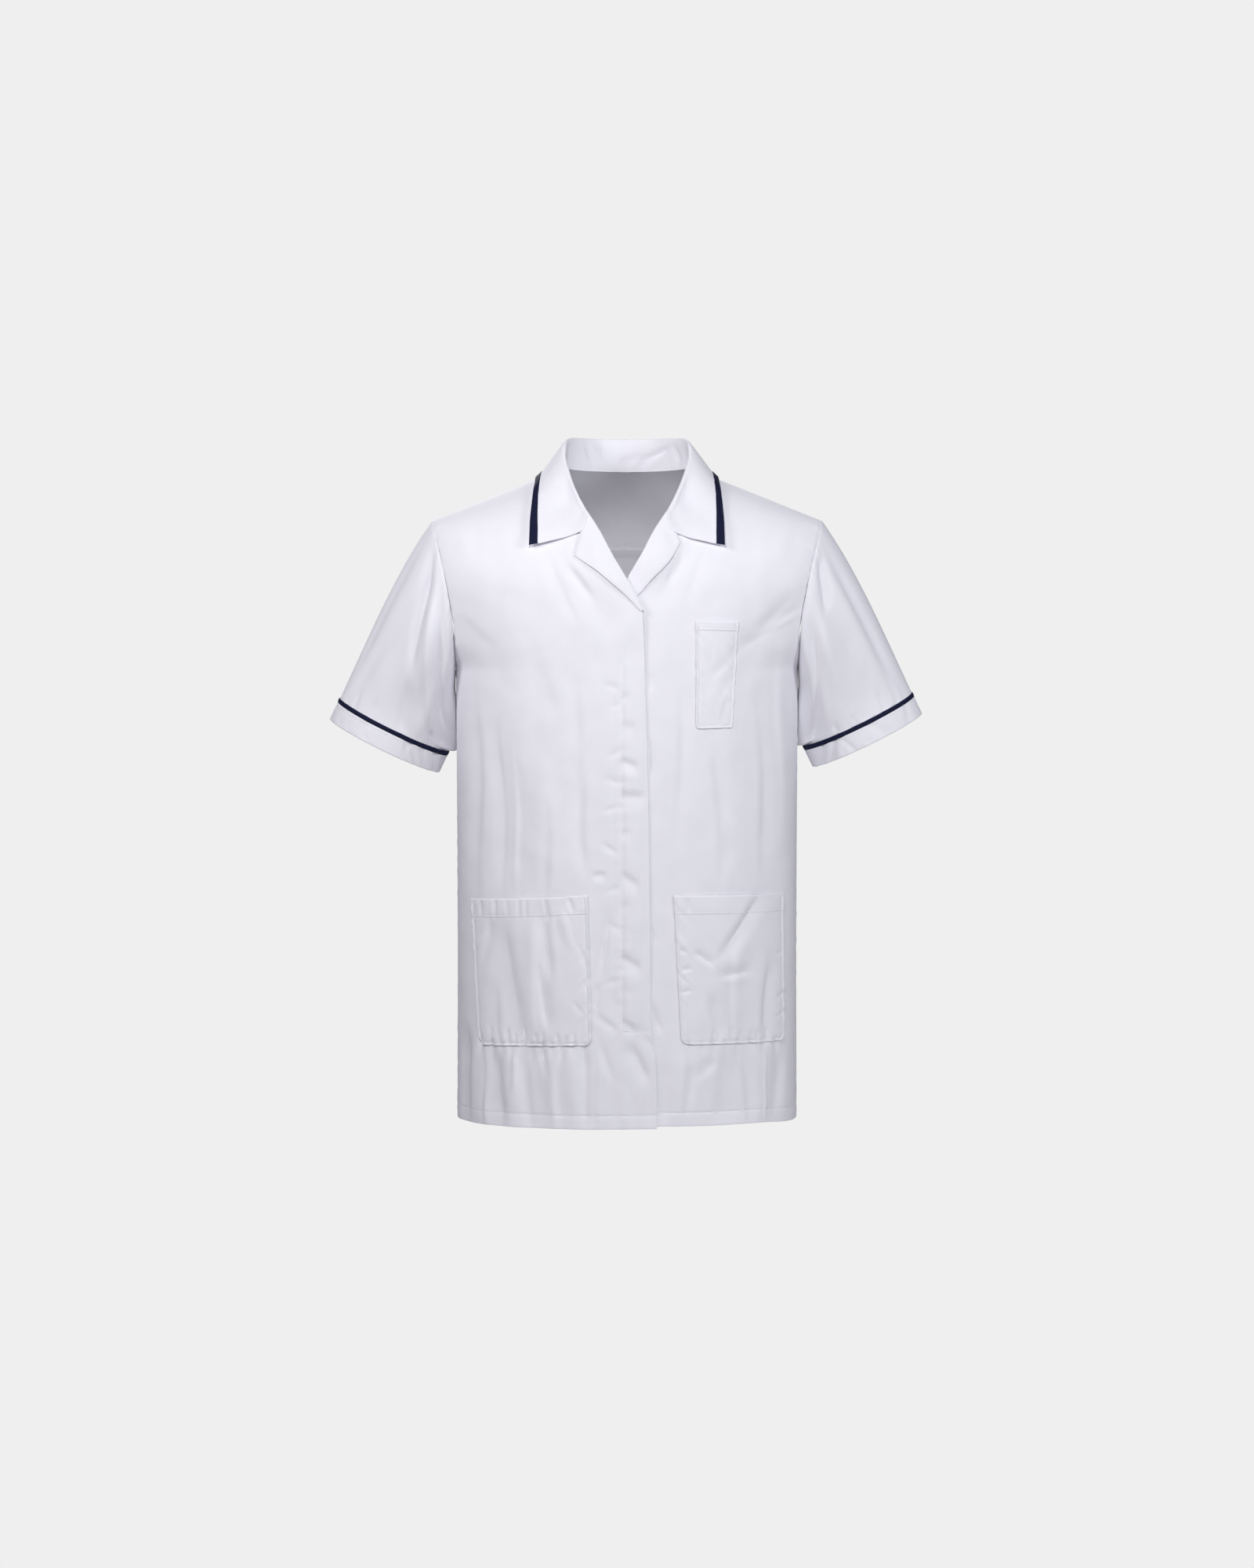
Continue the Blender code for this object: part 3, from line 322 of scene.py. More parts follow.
# Sleeve, in its own side's coordinates: outer and inner end of the piping and of the hem.
SLEEVE_TOP = ((331.0, 28.0, -264.5), (205.5, 28.0, -326.0))
SLEEVE_HEM = ((343.0, 30.0, -289.0), (217.0, 30.0, -350.5))
SLEEVE_HALF_DEPTH = 46.0
SLEEVE_FRONT_DIP = 4.0
SLEEVE_RUN = 150.0
LEAVE_TOP = (0.58, 0.05, -0.81)
LEAVE_UNDER = (0.03, 0.10, -1.0)
LEAVE_SPREAD = 0.15
ARMHOLE_GAP = 0.5
PIPING_DEPTH = 5.2
PIPING_BOW = 0.75
# The left sleeve hangs a little higher; both sag towards the body just above the piping.
SLEEVE_SHIFT = {RIGHT: (0.0, 0.0, 0.0), LEFT: (-2.5, 0.0, 6.5)}
INNER_SAG = 8.2
SAG_TURN = 178.0
SAG_WIDTH = 28.0
SLEEVE_CLEARANCE = 0.6
NO_CLEARANCE = -50.0
# Largest sleeve folds: turn round the sleeve in degrees (0 outside, 90 front), start and
# end along it, half width in degrees, depth.
SLEEVE_FOLDS = {
    RIGHT: (
        (62, 0.05, 0.70, 13, -3.2), (108, 0.15, 0.80, 12, -3.4), (85, 0.20, 0.75, 12, 2.4),
        (270, 0.05, 0.75, 15, -3), (305, 0.15, 0.85, 14, -2.2),
    ),
    LEFT: (
        (100, 0.05, 0.90, 13, -3.4), (66, 0.10, 0.60, 12, -2.4), (262, 0.05, 0.80, 15, -3),
        (300, 0.10, 0.70, 14, -2.4),
    ),
}
# Finer sleeve creases: turn and place along the sleeve of both ends, half width in
# degrees, depth.
SLEEVE_CREASES = {
    RIGHT: (
        (44, 0.05, 80, 0.54, 6.5, -5.6), (64, 0.08, 126, 0.80, 8, 3.4), (84, 0.10, 148, 0.66, 9, -5),
        (138, 0.30, 150, 1, 20, -7.4), (84, 0.60, 98, 1, 7, -3.2), (112, 0.50, 116, 0.95, 7, 1.8),
        (54, 0.15, 34, 0.95, 9, -3.2), (18, 0.10, 20, 0.80, 8, -2.4), (128, 0.84, 134, 1.02, 3, -2.7),
        (64, 0.88, 60, 1.02, 3, -1.2), (42, 0.90, 45, 1.02, 2.5, -1.2), (240, 0.10, 252, 0.80, 7, -3.8),
        (285, 0.08, 292, 0.70, 7, -3.4), (320, 0.25, 326, 0.90, 8, -2.3), (215, 0.35, 222, 0.95, 7, -3),
    ),
    LEFT: (
        (50, 0.05, 66, 0.24, 8, -4.4), (96, 0.22, 148, 0.95, 10, -4.8), (84, 0.25, 104, 0.95, 9, 2.6),
        (34, 0.12, 36, 0.80, 7, -3), (46, 0.20, 50, 0.85, 7, 1.6), (72, 0.50, 68, 0.95, 8, -1.8),
        (138, 0.26, 152, 1, 20, -6.8), (60, 0.88, 63, 1.02, 2.5, -1.3), (92, 0.90, 96, 1.02, 3, -1.6),
        (112, 0.88, 114, 1.02, 3, -1.3), (244, 0.15, 250, 0.85, 7, -3.5), (280, 0.05, 290, 0.75, 7, -3.4),
        (318, 0.20, 322, 0.85, 8, -2.3), (212, 0.40, 220, 0.95, 7, -2.9),
    ),
}
# Slanting dents across the cuffs: turn in degrees, slant in degrees for each millimetre,
# half width in degrees, depth.
CUFF_CREASES = {
    RIGHT: (
        (112, 0.5, 3, -1.2), (120, 0.7, 3.5, -2.2), (132, 0.6, 3.5, -1.9), (150, 0.5, 5, -2.2),
        (60, -0.4, 6, -1.2), (260, 0.5, 7, -1.4),
    ),
    LEFT: (
        (108, -0.4, 3.5, -1.3), (126, 0.6, 4, -2.2), (142, 0.7, 4, -2), (75, -0.5, 5, -1.4),
        (40, 0.3, 5, -1.1), (275, -0.4, 8, -1.4),
    ),
}
CUFF_MIDDLE = 12.0
CUFF_ROLL = 0.45
CUFF_STITCH_BELOW = 3.0

# Roll line of the collar from the centre back to the gorge: x, y, z.
COLLAR_ROLL = (
    (0, 64, 32), (24, 60.5, 32), (46, 46, 32.5), (61, 26, 32.5), (68, 7, 28), (69.5, -8, 14),
    (65, -29, -5), (55, -55, -31), (44, -79, -53),
)
# Outer edge of the collar from the centre back to the front tip: x, y, z.
COLLAR_EDGE = (
    (0, 93, -24), (36, 90, -25), (68, 75, -24), (92, 45, -20), (104, 12, -13), (106, -20, -21),
    (108, -48, -40), (110, -75, -66), (110.5, -91, -90),
)
COLLAR_STATIONS = 21
COLLAR_STAND_STEPS = (0.0, 0.5, 0.85)
COLLAR_FALL_STEPS = (0.0, 0.07, 0.2, 0.36, 0.52, 0.67, 0.81, 1.0)
ROLL_RADIUS = 2.8
COLLAR_HOVER = 2.3
COLLAR_FOOT = -0.6
COLLAR_TIP_LIFT = 2.4
COLLAR_FOLD = (3.0, 6.0)
COLLAR_STITCH_ABOVE = 2.5
# Notch where the collar meets the lapel: where it is, its size, and how the roll is led to it.
GORGE_NOTCH_AT = 0.2
GORGE_NOTCH = (-12.4, -17.6)
GORGE_FROM_STATION = 0.72
GORGE_START = 0.3
GORGE_START_STATION = 0.86
GORGE_BOW = 0.55
GORGE_RISE = 1.7
GORGE_RISE_REACH = (3.0, 16.0)
GORGE_WIDTH = (48.0, 62.0)
# Creases of the collar stand: distance round from the centre back and height above the
# neck seam of both ends, half width, depth.
STAND_CREASES = (
    (-52, 30, -40, 8, 4, -4.1), (-34, 28, -20, 14, 5, -3), (-8, 10, 14, 18, 4, -3),
    (16, 12, 52, 26, 4.5, -4.7), (30, 8, 46, 14, 3, 2.2), (60, 30, 72, 10, 4, -3.6),
)
TAPE_WIDTH = 9.8
TAPE_INSET = 0.9
TAPE_HEIGHT = 0.75

# Outer edge of each lapel from its tip to the break point: x, z.
LAPEL_EDGE = {
    RIGHT: ((55, -104), (34, -118.5), (17, -132.5), (1, -146.5), (-15.5, -163.5)),
    LEFT: ((58, -89.5), (48, -106), (29, -126), (11, -146), (-13, -163)),
}
LAPEL_LENGTH = 130.0
LAPEL_WIDTH = 60.0
LAPEL_LIFT = {RIGHT: 2.2, LEFT: 1.6}
LAPEL_LIFT_ENDS = {RIGHT: (0.55, 0.95), LEFT: (0.35, 0.7)}
LAPEL_LIFT_FROM = (4.0, 30.0)
LAPEL_HEIGHT = 2.1
LAPEL_RISE = 0.5
LAPEL_RISE_END = (2.0, 26.0)
LAPEL_UNDER = 6.0
LAPEL_TUCK = 0.15
LAPEL_FOLD_RADIUS = 1.5
LAPEL_FOLD_STEPS = 6
LAPEL_LIFT_TURN = 0.68

# Patch pockets: corners as x, z in the side's own coordinates.
POCKETS = {
    "pocket_right": dict(
        side=RIGHT, inner_top=(44.3, -480.5), outer_top=(177.0, -490.0),
        inner_low=(39.5, -650.0), outer_low=(168.5, -655.0), hem=20.5, corner=9.0, bulge=3.0,
    ),
    "pocket_left": dict(
        side=LEFT, inner_top=(52.3, -481.0), outer_top=(177.0, -482.5),
        inner_low=(61.0, -649.5), outer_low=(179.0, -651.5), hem=20.5, corner=9.0, bulge=3.0,
    ),
    "pocket_chest": dict(
        side=LEFT, inner_top=(77.5, -173.3), outer_top=(125.0, -174.8),
        inner_low=(77.0, -294.5), outer_low=(118.0, -293.9), hem=10.5, corner=4.0, bulge=1.4,
    ),
}
POCKET_HEM_RISE = 0.7
POCKET_LIFT = 1.0
POCKET_GATHER = 0.5
POCKET_STITCH_DIP = 0.7
POCKET_EDGE_RISE = 0.8
POCKET_EDGE_AT = 1.1
POCKET_HEM_STITCH = 2.0
STITCH_INSET = 3.0
# Creases of the pockets alone: x and z of both ends, half width, depth.
POCKET_CREASES = {
    "pocket_right": (
        (164, -489, 163, -508, 2.6, -2), (149, -488, 148, -510, 2.8, -2.4),
        (134, -487, 133, -508, 2.4, -1.6), (120, -487, 120, -507, 2.6, -1.8),
        (112, -486, 111, -507, 2.4, -1.6), (90, -485, 89, -509, 3, -2.4), (66, -483, 62, -500, 3.4, -1.8),
    ),
    "pocket_left": (
        (68, -484, 68, -500, 2.6, -1.4),
    ),
    "pocket_chest": (
        (121, -208, 94, -238, 6, -0.8), (119, -236, 100, -262, 5, -0.7), (112, -262, 104, -290, 4, -0.9),
        (84, -230, 88, -262, 4, -0.5), (100, -196, 96, -222, 4, 0.5),
    ),
}
# Sewing: pitch, length, width and height of a stitch, its sections and profile, the rows of the yoke.
STITCH_PITCH = 3.0
STITCH_LENGTH = 2.3
STITCH_WIDTH = 0.5
STITCH_HEIGHT = 0.3
STITCH_LIFT = 0.02
STITCH_SECTIONS = ((-0.5, 0.35), (-0.3, 1.0), (0.3, 1.0), (0.5, 0.35))
STITCH_PROFILE = ((-0.5, 0.0), (-0.25, 1.0), (0.25, 1.0), (0.5, 0.0))
YOKE_STITCH_ABOVE = (1.5, 6.0)
YOKE_STITCH_END_X = 150.0
YOKE_END_X = 190.0

# Cloths: colour, its shade, roughness, sheen and specular level.
CLOTHS = {
    "poly_cotton_white": ((0.89, 0.885, 0.93, 1.0), (0.85, 0.845, 0.90, 1.0), 0.84, 0.12, 0.28),
    "poly_cotton_navy": ((0.0065, 0.009, 0.032, 1.0), (0.009, 0.012, 0.041, 1.0), 0.72, 0.015, 0.14),
    "sewing_thread": ((0.88, 0.88, 0.90, 1.0), (0.89, 0.885, 0.93, 1.0), 0.6, 0.0, 0.28),
}
THREADS_PER_METRE = 700.0
SHARP_ANGLE = 60.0
# Studio, in metres: place, aim, size, power and colour of each light.
LIGHTS = {
    "key": ((-0.2, -1.55, 0.75), (0.0, 0.0, -0.2), (0.4, 0.25), 13.6, (1.0, 1.0, 1.0)),
    "left": ((-1.2, -0.9, 0.6), (-0.15, 0.0, -0.1), (0.5, 0.6), 10.0, (0.98, 0.97, 1.0)),
    "right": ((1.6, -1.1, 0.5), (0.0, 0.0, -0.2), (0.4, 0.7), 12.9, (0.94, 0.96, 1.0)),
    "low": ((0.8, -1.7, -0.9), (0.1, 0.0, -0.45), (0.6, 0.6), 5.0, (1.0, 1.0, 1.0)),
    "back": ((-0.3, 2.0, 0.9), (0.0, 0.0, -0.3), (0.7, 0.7), 34.0, (1.0, 1.0, 1.0)),
}
BACKDROP = (0.863, 0.863, 0.863, 1.0)
SURROUND = (0.87, 0.85, 1.0, 1.0)
SURROUND_STRENGTH = 0.14
FLOOR_PLACE = (0.0, 0.0, -1.62)
FLOOR_RADIUS = 1.0
FLOOR_SHADE = (0.90, 0.90, 0.91, 1.0)
FLOOR_GLOW = 0.3


def between(value, low, high):
    """Soft step from 0 at low to 1 at high."""
    t = np.clip((np.asarray(value, float) - low) / (high - low), 0.0, 1.0)
    return t * t * (3.0 - 2.0 * t)


def fading(value, low, high):
    """Soft step from 1 at low to 0 at high."""
    return 1.0 - between(value, low, high)


def bell(distance, width):
    """Soft hump that is 1 at no distance."""
    return np.exp(-np.square(distance / width))


def unit(vectors):
    return vectors / np.linalg.norm(vectors, axis=-1, keepdims=True)


def column(table, number):
    return [row[number] for row in table]


def through(at, knots, values):
    """Smooth curve through the knots that never overshoots them."""
    order = np.argsort(knots)
    knots = np.asarray(knots, float)[order]
    values = np.asarray(values, float)[order]
    step = np.diff(knots)
    slope = np.diff(values) / step
    tangent = np.append(slope, slope[-1])
    same = slope[:-1] * slope[1:] > 0.0
    total = np.where(same, slope[:-1] + slope[1:], 1.0)
    tangent[1:-1] = np.where(same, 2.0 * slope[:-1] * slope[1:] / total, 0.0)
    at = np.clip(np.asarray(at, float), knots[0], knots[-1])
    i = np.clip(np.searchsorted(knots, at) - 1, 0, len(step) - 1)
    t = (at - knots[i]) / step[i]
    rise = (3.0 - 2.0 * t) * t * t
    start = t * (1.0 - t) ** 2 * step[i] * tangent[i]
    end = -t * t * (1.0 - t) * step[i] * tangent[i + 1]
    return values[i] * (1.0 - rise) + values[i + 1] * rise + start + end


def curve_point(table, at):
    """Point of a table's curve; at runs from 0 to 1 over its rows."""
    place = np.asarray(at, float) * (len(table) - 1)
    return np.stack([through(place, range(len(table)), values) for values in zip(*table)], -1)


def run_along(points):
    """Distance of each point along a line from its first."""
    return np.concatenate([[0.0], np.cumsum(np.linalg.norm(np.diff(points, axis=0), axis=1))])


def at_places(places, run, points):
    """Points of a line at places along it."""
    return np.stack([np.interp(places, run, points[:, c]) for c in range(3)], -1)


def shoulder_height(x):
    rounded = np.sqrt(np.square(x) + NECK_ROUNDING ** 2)
    return -SHOULDER_SLOPE * (rounded - math.hypot(NECK_HALF_WIDTH, NECK_ROUNDING))


def along_shoulder(x, ends):
    """Value at x that runs from the neck's to the shoulder tip's."""
    share = np.clip((np.abs(x) - NECK_EDGE_X) / (SHOULDER_TIP_X - NECK_EDGE_X), 0.0, 1.0)
    return ends[0] + (ends[1] - ends[0]) * share


def half_width(z):
    return through(z, column(SECTIONS, 0), column(SECTIONS, 1))


def body_depth(face, x, z):
    """How far the body stands out at x, z, before folds."""
    depth = through(z, column(SECTIONS, 0), column(SECTIONS, 2 if face == FRONT else 3))
    ratio = np.clip(np.abs(x) / half_width(z), 0.0, 1.0)
    section = SIDE_SEAM_Y + face * depth * (1.0 - ratio ** SECTION_POWER) ** (1.0 / SECTION_POWER)
    ridge = along_shoulder(x, RIDGE_Y)
    fallen = np.clip((shoulder_height(x) - z) / along_shoulder(x, ARCH_DROP[face]), 0.0, 1.0)
    arch = (1.0 - (1.0 - fallen) ** 2) ** (1.0 / along_shoulder(x, RIDGE_POWER))
    return ridge + (section - ridge) * arch


def line_frame(x, z, x0, z0, x1, z1):
    """Distances along and across a line, and its length."""
    length = math.hypot(x1 - x0, z1 - z0)
    dx = (x1 - x0) / length
    dz = (z1 - z0) / length
    return (x - x0) * dx + (z - z0) * dz, (x - x0) * dz - (z - z0) * dx, length


def tapered(along, length):
    """1 over the middle of a mark, and 0 a fifth of its length past each end."""
    return between(along, -0.2 * length, 0.3 * length) * fading(along, 0.7 * length, 1.2 * length)


def faded(height, face, x, z, side_span, shoulder_span, centre_reach):
    """Height that dies away at the side, the shoulder and the middle of the back."""
    at_side = between(half_width(z) - np.abs(x), *side_span)
    at_shoulder = between(shoulder_height(x) - z, *shoulder_span)
    at_centre = 1.0 if face == FRONT else between(x, 0.0, centre_reach)
    return height * at_side * at_shoulder * at_centre


def fold_height(side, face, x, z):
    """Soft troughs and ridges of the body's solids."""
    height = np.zeros(np.broadcast(x, z).shape)
    for *ends, width, depth in BODY_FOLDS[side, face]:
        along, across, length = line_frame(x, z, *ends)
        height = height + depth * tapered(along, length) * bell(across, width)
    return faded(height, face, x, z, *FOLD_FADES)


def overlap_height(side, x, z):
    """The right front rises where it lies on the left one and on its lapel."""
    if side != RIGHT:
        return 0.0 * x
    bulk = between(-z, *BULK_FROM) * fading(-z, *BULK_END)
    return fading(x, *OVERLAP_END) * (OVERLAP_LIFT * between(-z, *OVERLAP_FROM) + LAPEL_BULK * bulk)


def bare_point(side, face, x, z):
    return np.stack([side * x, body_depth(face, x, z), z + 0.0 * x], -1)


def normal_of(surface, side, face, x, z):
    """Outward normal of a surface, from points 1 mm to each side."""
    across = surface(side, face, x + 1.0, z) - surface(side, face, x - 1.0, z)
    down = surface(side, face, x, z - 1.0) - surface(side, face, x, z + 1.0)
    return unit(np.cross(across, down) * side * face)


def body_point(side, face, x, z):
    """Outer face of the body's solids at x, z."""
    x = np.asarray(x, float)
    z = np.asarray(z, float)
    height = fold_height(side, face, x, z)
    if face == FRONT:
        height = height + overlap_height(side, x, z)
    return bare_point(side, face, x, z) + normal_of(bare_point, side, face, x, z) * height[..., None]


def panel_rows(side, face):
    """Row table of one half, with the left front's edge set back under the right one."""
    if face == BACK:
        return BACK_ROWS
    if side == RIGHT:
        return FRONT_ROWS
    under = tuple((UNDER_EDGE_X, *row[1:]) for row in FRONT_ROWS[UNDER_EDGE_ROW:])
    return FRONT_ROWS[:UNDER_EDGE_ROW] + under


def line_mark(x, z, x0, z0, x1, z1, width):
    """Soft stripe along a line: it wanders a little, its ends taper, and one side is steeper."""
    along, across, length = line_frame(x, z, x0, z0, x1, z1)
    across = across + WANDER * width * np.sin(along / (WANDER_WAVE * width) + x0)
    steep = STEEP_SIDE if (x0 + z0) % 2 < 1 else 1.0 / STEEP_SIDE
    share = np.square(across / (width * np.where(across > 0.0, steep, 1.0 / steep)))
    strength = 1.0 - SWELL + SWELL * np.sin(along / (SWELL_WAVE * width) + z0)
    return tapered(along, length) * strength * (1.0 - BESIDE_SHARE * share) * np.exp(-share)


def add_marks(height, table, x, z):
    """Height with the stripes of a table added, deep or high by its last column."""
    return sum((depth * line_mark(x, z, *line) for *line, depth in table), height)


def crease_height(side, face, x, z):
    """Finer creases, the puckers under the pockets and the cloth's weak unevenness."""
    height = add_marks(np.zeros(np.broadcast(x, z).shape), BODY_CREASES[side, face], x, z)
    if face == FRONT:
        below = POCKET_LOW_Z[side] - z
        for at, reach, width, depth in POCKET_PUCKERS[side]:
            above = fading(-below, *POCKET_PUCKER_ABOVE)
            fade = np.where(below > 0.0, fading(below, 0.2 * reach, reach), above)
            height = height - depth * fade * bell(x - at - POCKET_PUCKER_LEAN * below, width)
    for across, down, turn, rise in RIPPLES:
        wave = np.sin(TURN * (x / across + 0.3 * np.sin(TURN * z / down)) + turn + side)
        height = height + rise * wave * np.sin(TURN * z / down + turn * 2.0)
    return faded(height, face, x, z, *CREASE_FADES)


def cloth_point(side, face, x, z):
    """Outer face of the body's cloth with its finer creases."""
    x = np.asarray(x, float)
    z = np.asarray(z, float)
    height = crease_height(side, face, x, z)
    return body_point(side, face, x, z) + normal_of(bare_point, side, face, x, z) * height[..., None]


def on_cloth(side, face, x, z, height=0.0):
    """Points at a height above the body's cloth, and its normals there."""
    normals = normal_of(cloth_point, side, face, x, z)
    return cloth_point(side, face, x, z) + normals * np.asarray(height)[..., None], normals


def close_steps(length, step, first, last):
    """Distances from 0 to length, closer together at both ends."""
    high = [length - distance for distance in reversed(last)]
    count = max(int(round((high[0] - first[-1]) / step)), 1)
    middle = np.linspace(first[-1], high[0], count + 1)
    return np.concatenate([first[:-1], middle, high[1:]])


def fine_rows(side, face):
    """Places in a half panel's row table, about one mesh step apart."""
    table = panel_rows(side, face)
    rows = [0.0]
    for number, ((x0, z0, side0), (x1, z1, side1)) in enumerate(zip(table, table[1:])):
        length = abs(side1 - side0)
        if number < UNDERARM_ROW[face]:
            length = max(length, math.hypot(x1 - x0, z1 - z0))
        count = max(int(round(length / MESH_STEP)), 1)
        rows.extend(number + np.arange(1, count + 1) / count)
    sides = np.array(column(table, 2))
    for above_hem in HEM_STEPS:
        rows.append(np.interp(-(sides[-1] + above_hem), -sides, np.arange(len(table))))
    return np.unique(np.round(rows, 4))


def fine_places(side, face, rows, turns):
    """x and z of a half panel's fine grid."""
    table = panel_rows(side, face)
    edge_x, edge_z, side_z = (through(rows, range(len(table)), values)[:, None] for values in zip(*table))
    armhole = through(side_z, column(ARMHOLE[face], 0), column(ARMHOLE[face], 1))
    side_x = np.where(side_z > UNDERARM_Z, armhole, half_width(side_z))
    bend = fading(rows, 0.0, 8.0)[:, None]
    z = edge_z + (side_z - edge_z) * turns
    for _ in range(5):
        width = half_width(z)
        start = np.arcsin(np.minimum(np.abs(edge_x[:, 0]) / width[:, 0], 1.0) ** (SECTION_POWER / 2.0))
        start = np.copysign(start, edge_x[:, 0])[:, None]
        end = np.arcsin(np.minimum(side_x[:, 0] / width[:, -1], 1.0) ** (SECTION_POWER / 2.0))[:, None]
        angle = start + (end - start) * turns
        x = width * np.abs(np.sin(angle)) ** (2.0 / SECTION_POWER) * np.sign(angle)
        share = (x - edge_x) / (side_x - edge_x)
        first = shoulder_height(edge_x)
        last = shoulder_height(side_x)
        z = edge_z + (side_z - edge_z) * share + bend * (shoulder_height(x) - first - (last - first) * share)
    return x, z


def grid_normals(grid, outward):
    """Normals of a grid of points; outward is a rough outward direction for each."""
    normals = unit(np.cross(np.gradient(grid, axis=1), np.gradient(grid, axis=0)))
    flip = np.sign(np.sum(normals * outward, axis=-1, keepdims=True))
    return normals * np.where(flip == 0.0, 1.0, flip)


def ring_normals(grid):
    """Outward normals of a tube of closed rings."""
    around = np.roll(grid, -1, axis=1) - np.roll(grid, 1, axis=1)
    normals = unit(np.cross(around, np.gradient(grid, axis=0)))
    if np.sum((grid - grid.mean(axis=1, keepdims=True)) * normals) < 0.0:
        normals = -normals
    return normals


def from_edges(grid):
    """Distance of each point along the grid from its first and last columns and rows."""
    across = np.pad(np.cumsum(np.linalg.norm(np.diff(grid, axis=1), axis=2), axis=1), ((0, 0), (1, 0)))
    down = np.pad(np.cumsum(np.linalg.norm(np.diff(grid, axis=0), axis=2), axis=0), ((1, 0), (0, 0)))
    return {
        "first": (across, down),
        "last": (across[:, -1:] - across, down),
        "top": (down, across),
        "bottom": (down[-1:] - down, across),
    }


def gathers(distance, run, turn, reach=SEAM_GATHER_REACH):
    """Small uneven gathers that fade away from a sewn line."""
    shifted = run + GATHER_SHIFT * np.sin(run / GATHER_SHIFT_WAVE + turn)
    total = 0.0
    for wave, share in GATHER_WAVES:
        total = total + share * np.sin(TURN * shifted / wave + turn * wave)
    strength = 1.0 - GATHER_SWELL + GATHER_SWELL * np.sin(run / GATHER_SWELL_WAVE + 2.0 * turn)
    return SEAM_GATHER * total * strength * np.exp(-distance / reach) * between(distance, 0.0, 2.0)


def seam_look(edge, turn, dip=SEAM_DIP):
    """The cloth turns in at a seam, with gathers beside it."""
    distance, run = edge
    return gathers(distance, run, turn) - dip * bell(distance, SEAM_DIP_WIDTH)


def groove(distance):
    """Groove that a row of stitches pulls in."""
    return GROOVE_DEPTH * bell(distance, GROOVE_WIDTH)


def hem_sewn(height, edge, turn):
    """Height with the groove and gathers of the hem's stitches."""
    above_hem, run = edge
    from_line = above_hem - HEM_STITCH_ABOVE
    return height - groove(from_line) + gathers(np.abs(from_line), run, turn, HEM_GATHER_REACH)


def rounded(outer, normals, wall, distance):
    """Outer face and wall of a free edge, drawn together over its last fraction of a millimetre."""
    narrow = 0.42 * wall * (1.0 - np.clip(distance / EDGE_ROUNDING, 0.0, 1.0)) ** 2
    return outer - normals * narrow[..., None], wall - 2.0 * narrow


def grid_faces(ids):
    """Four-sided faces of a grid of vertex numbers."""
    return np.stack([ids[:-1, :-1], ids[:-1, 1:], ids[1:, 1:], ids[1:, :-1]], -1).reshape(-1, 4)


def wall_mesh(name, sheets, colour, ring=False):
    """Thin closed piece of cloth from sheets of an outer grid, its normals and its wall."""
    outer = []
    inner = []
    laid_out = []
    faces = []
    start = 0
    for grid, normals, wall in sheets:
        rows, columns = grid.shape[:2]
        ids = start + np.arange(rows * columns).reshape(rows, columns)
        start += rows * columns
        if ring:
            ids = np.concatenate([ids, ids[:, :1]], axis=1)
        faces.append(grid_faces(ids))
        across, down = from_edges(grid)["first"]
        laid_out.append(np.stack([across * np.sign(grid[0, -1, 0] + 0.5), -down], -1).reshape(-1, 2))
        outer.append(grid.reshape(-1, 3))
        thickness = np.broadcast_to(wall, grid.shape[:2])[..., None]
        inner.append((grid - normals * thickness).reshape(-1, 3))
    outer = np.concatenate(outer)
    _, first, same = np.unique(np.round(outer, 3), axis=0, return_index=True, return_inverse=True)
    faces = first[same.reshape(-1)][np.concatenate(faces)]
    sides = np.stack([faces, np.roll(faces, -1, axis=1)], -1).reshape(-1, 2)
    _, place, uses = np.unique(np.sort(sides, axis=1), axis=0, return_index=True, return_counts=True)
    rim = sides[place[uses == 1]]
    count = len(outer)
    rims = np.stack([rim[:, 1], rim[:, 0], rim[:, 0] + count, rim[:, 1] + count], -1)
    used, faces = np.unique(np.concatenate([faces, faces[:, ::-1] + count, rims]), return_inverse=True)
    points = np.concatenate([outer] + inner)[used] * MM
    flat = np.concatenate(laid_out * 2)[used] * MM
    return cloth_object(name, points, faces.reshape(-1, 4), flat, colour)


def cloth_object(name, points, faces, flat, colour):
    """Smooth mesh whose map holds the cloth laid out flat."""
    mesh = bpy.data.meshes.new(name)
    mesh.from_pydata(points.tolist(), [], faces.tolist())
    shape = bmesh.new()
    shape.from_mesh(mesh)
    bmesh.ops.recalc_face_normals(shape, faces=shape.faces)
    shape.to_mesh(mesh)
    shape.free()
    layer = mesh.uv_layers.new(name="cloth")
    corners = np.zeros(len(mesh.loops), int)
    mesh.loops.foreach_get("vertex_index", corners)
    layer.data.foreach_set("uv", flat[corners].astype(np.float32).ravel())
    mesh.shade_smooth()
    mesh.set_sharp_from_angle(angle=math.radians(SHARP_ANGLE))
    mesh.materials.append(colour)
    piece = bpy.data.objects.new(name, mesh)
    bpy.context.scene.collection.objects.link(piece)
    return piece


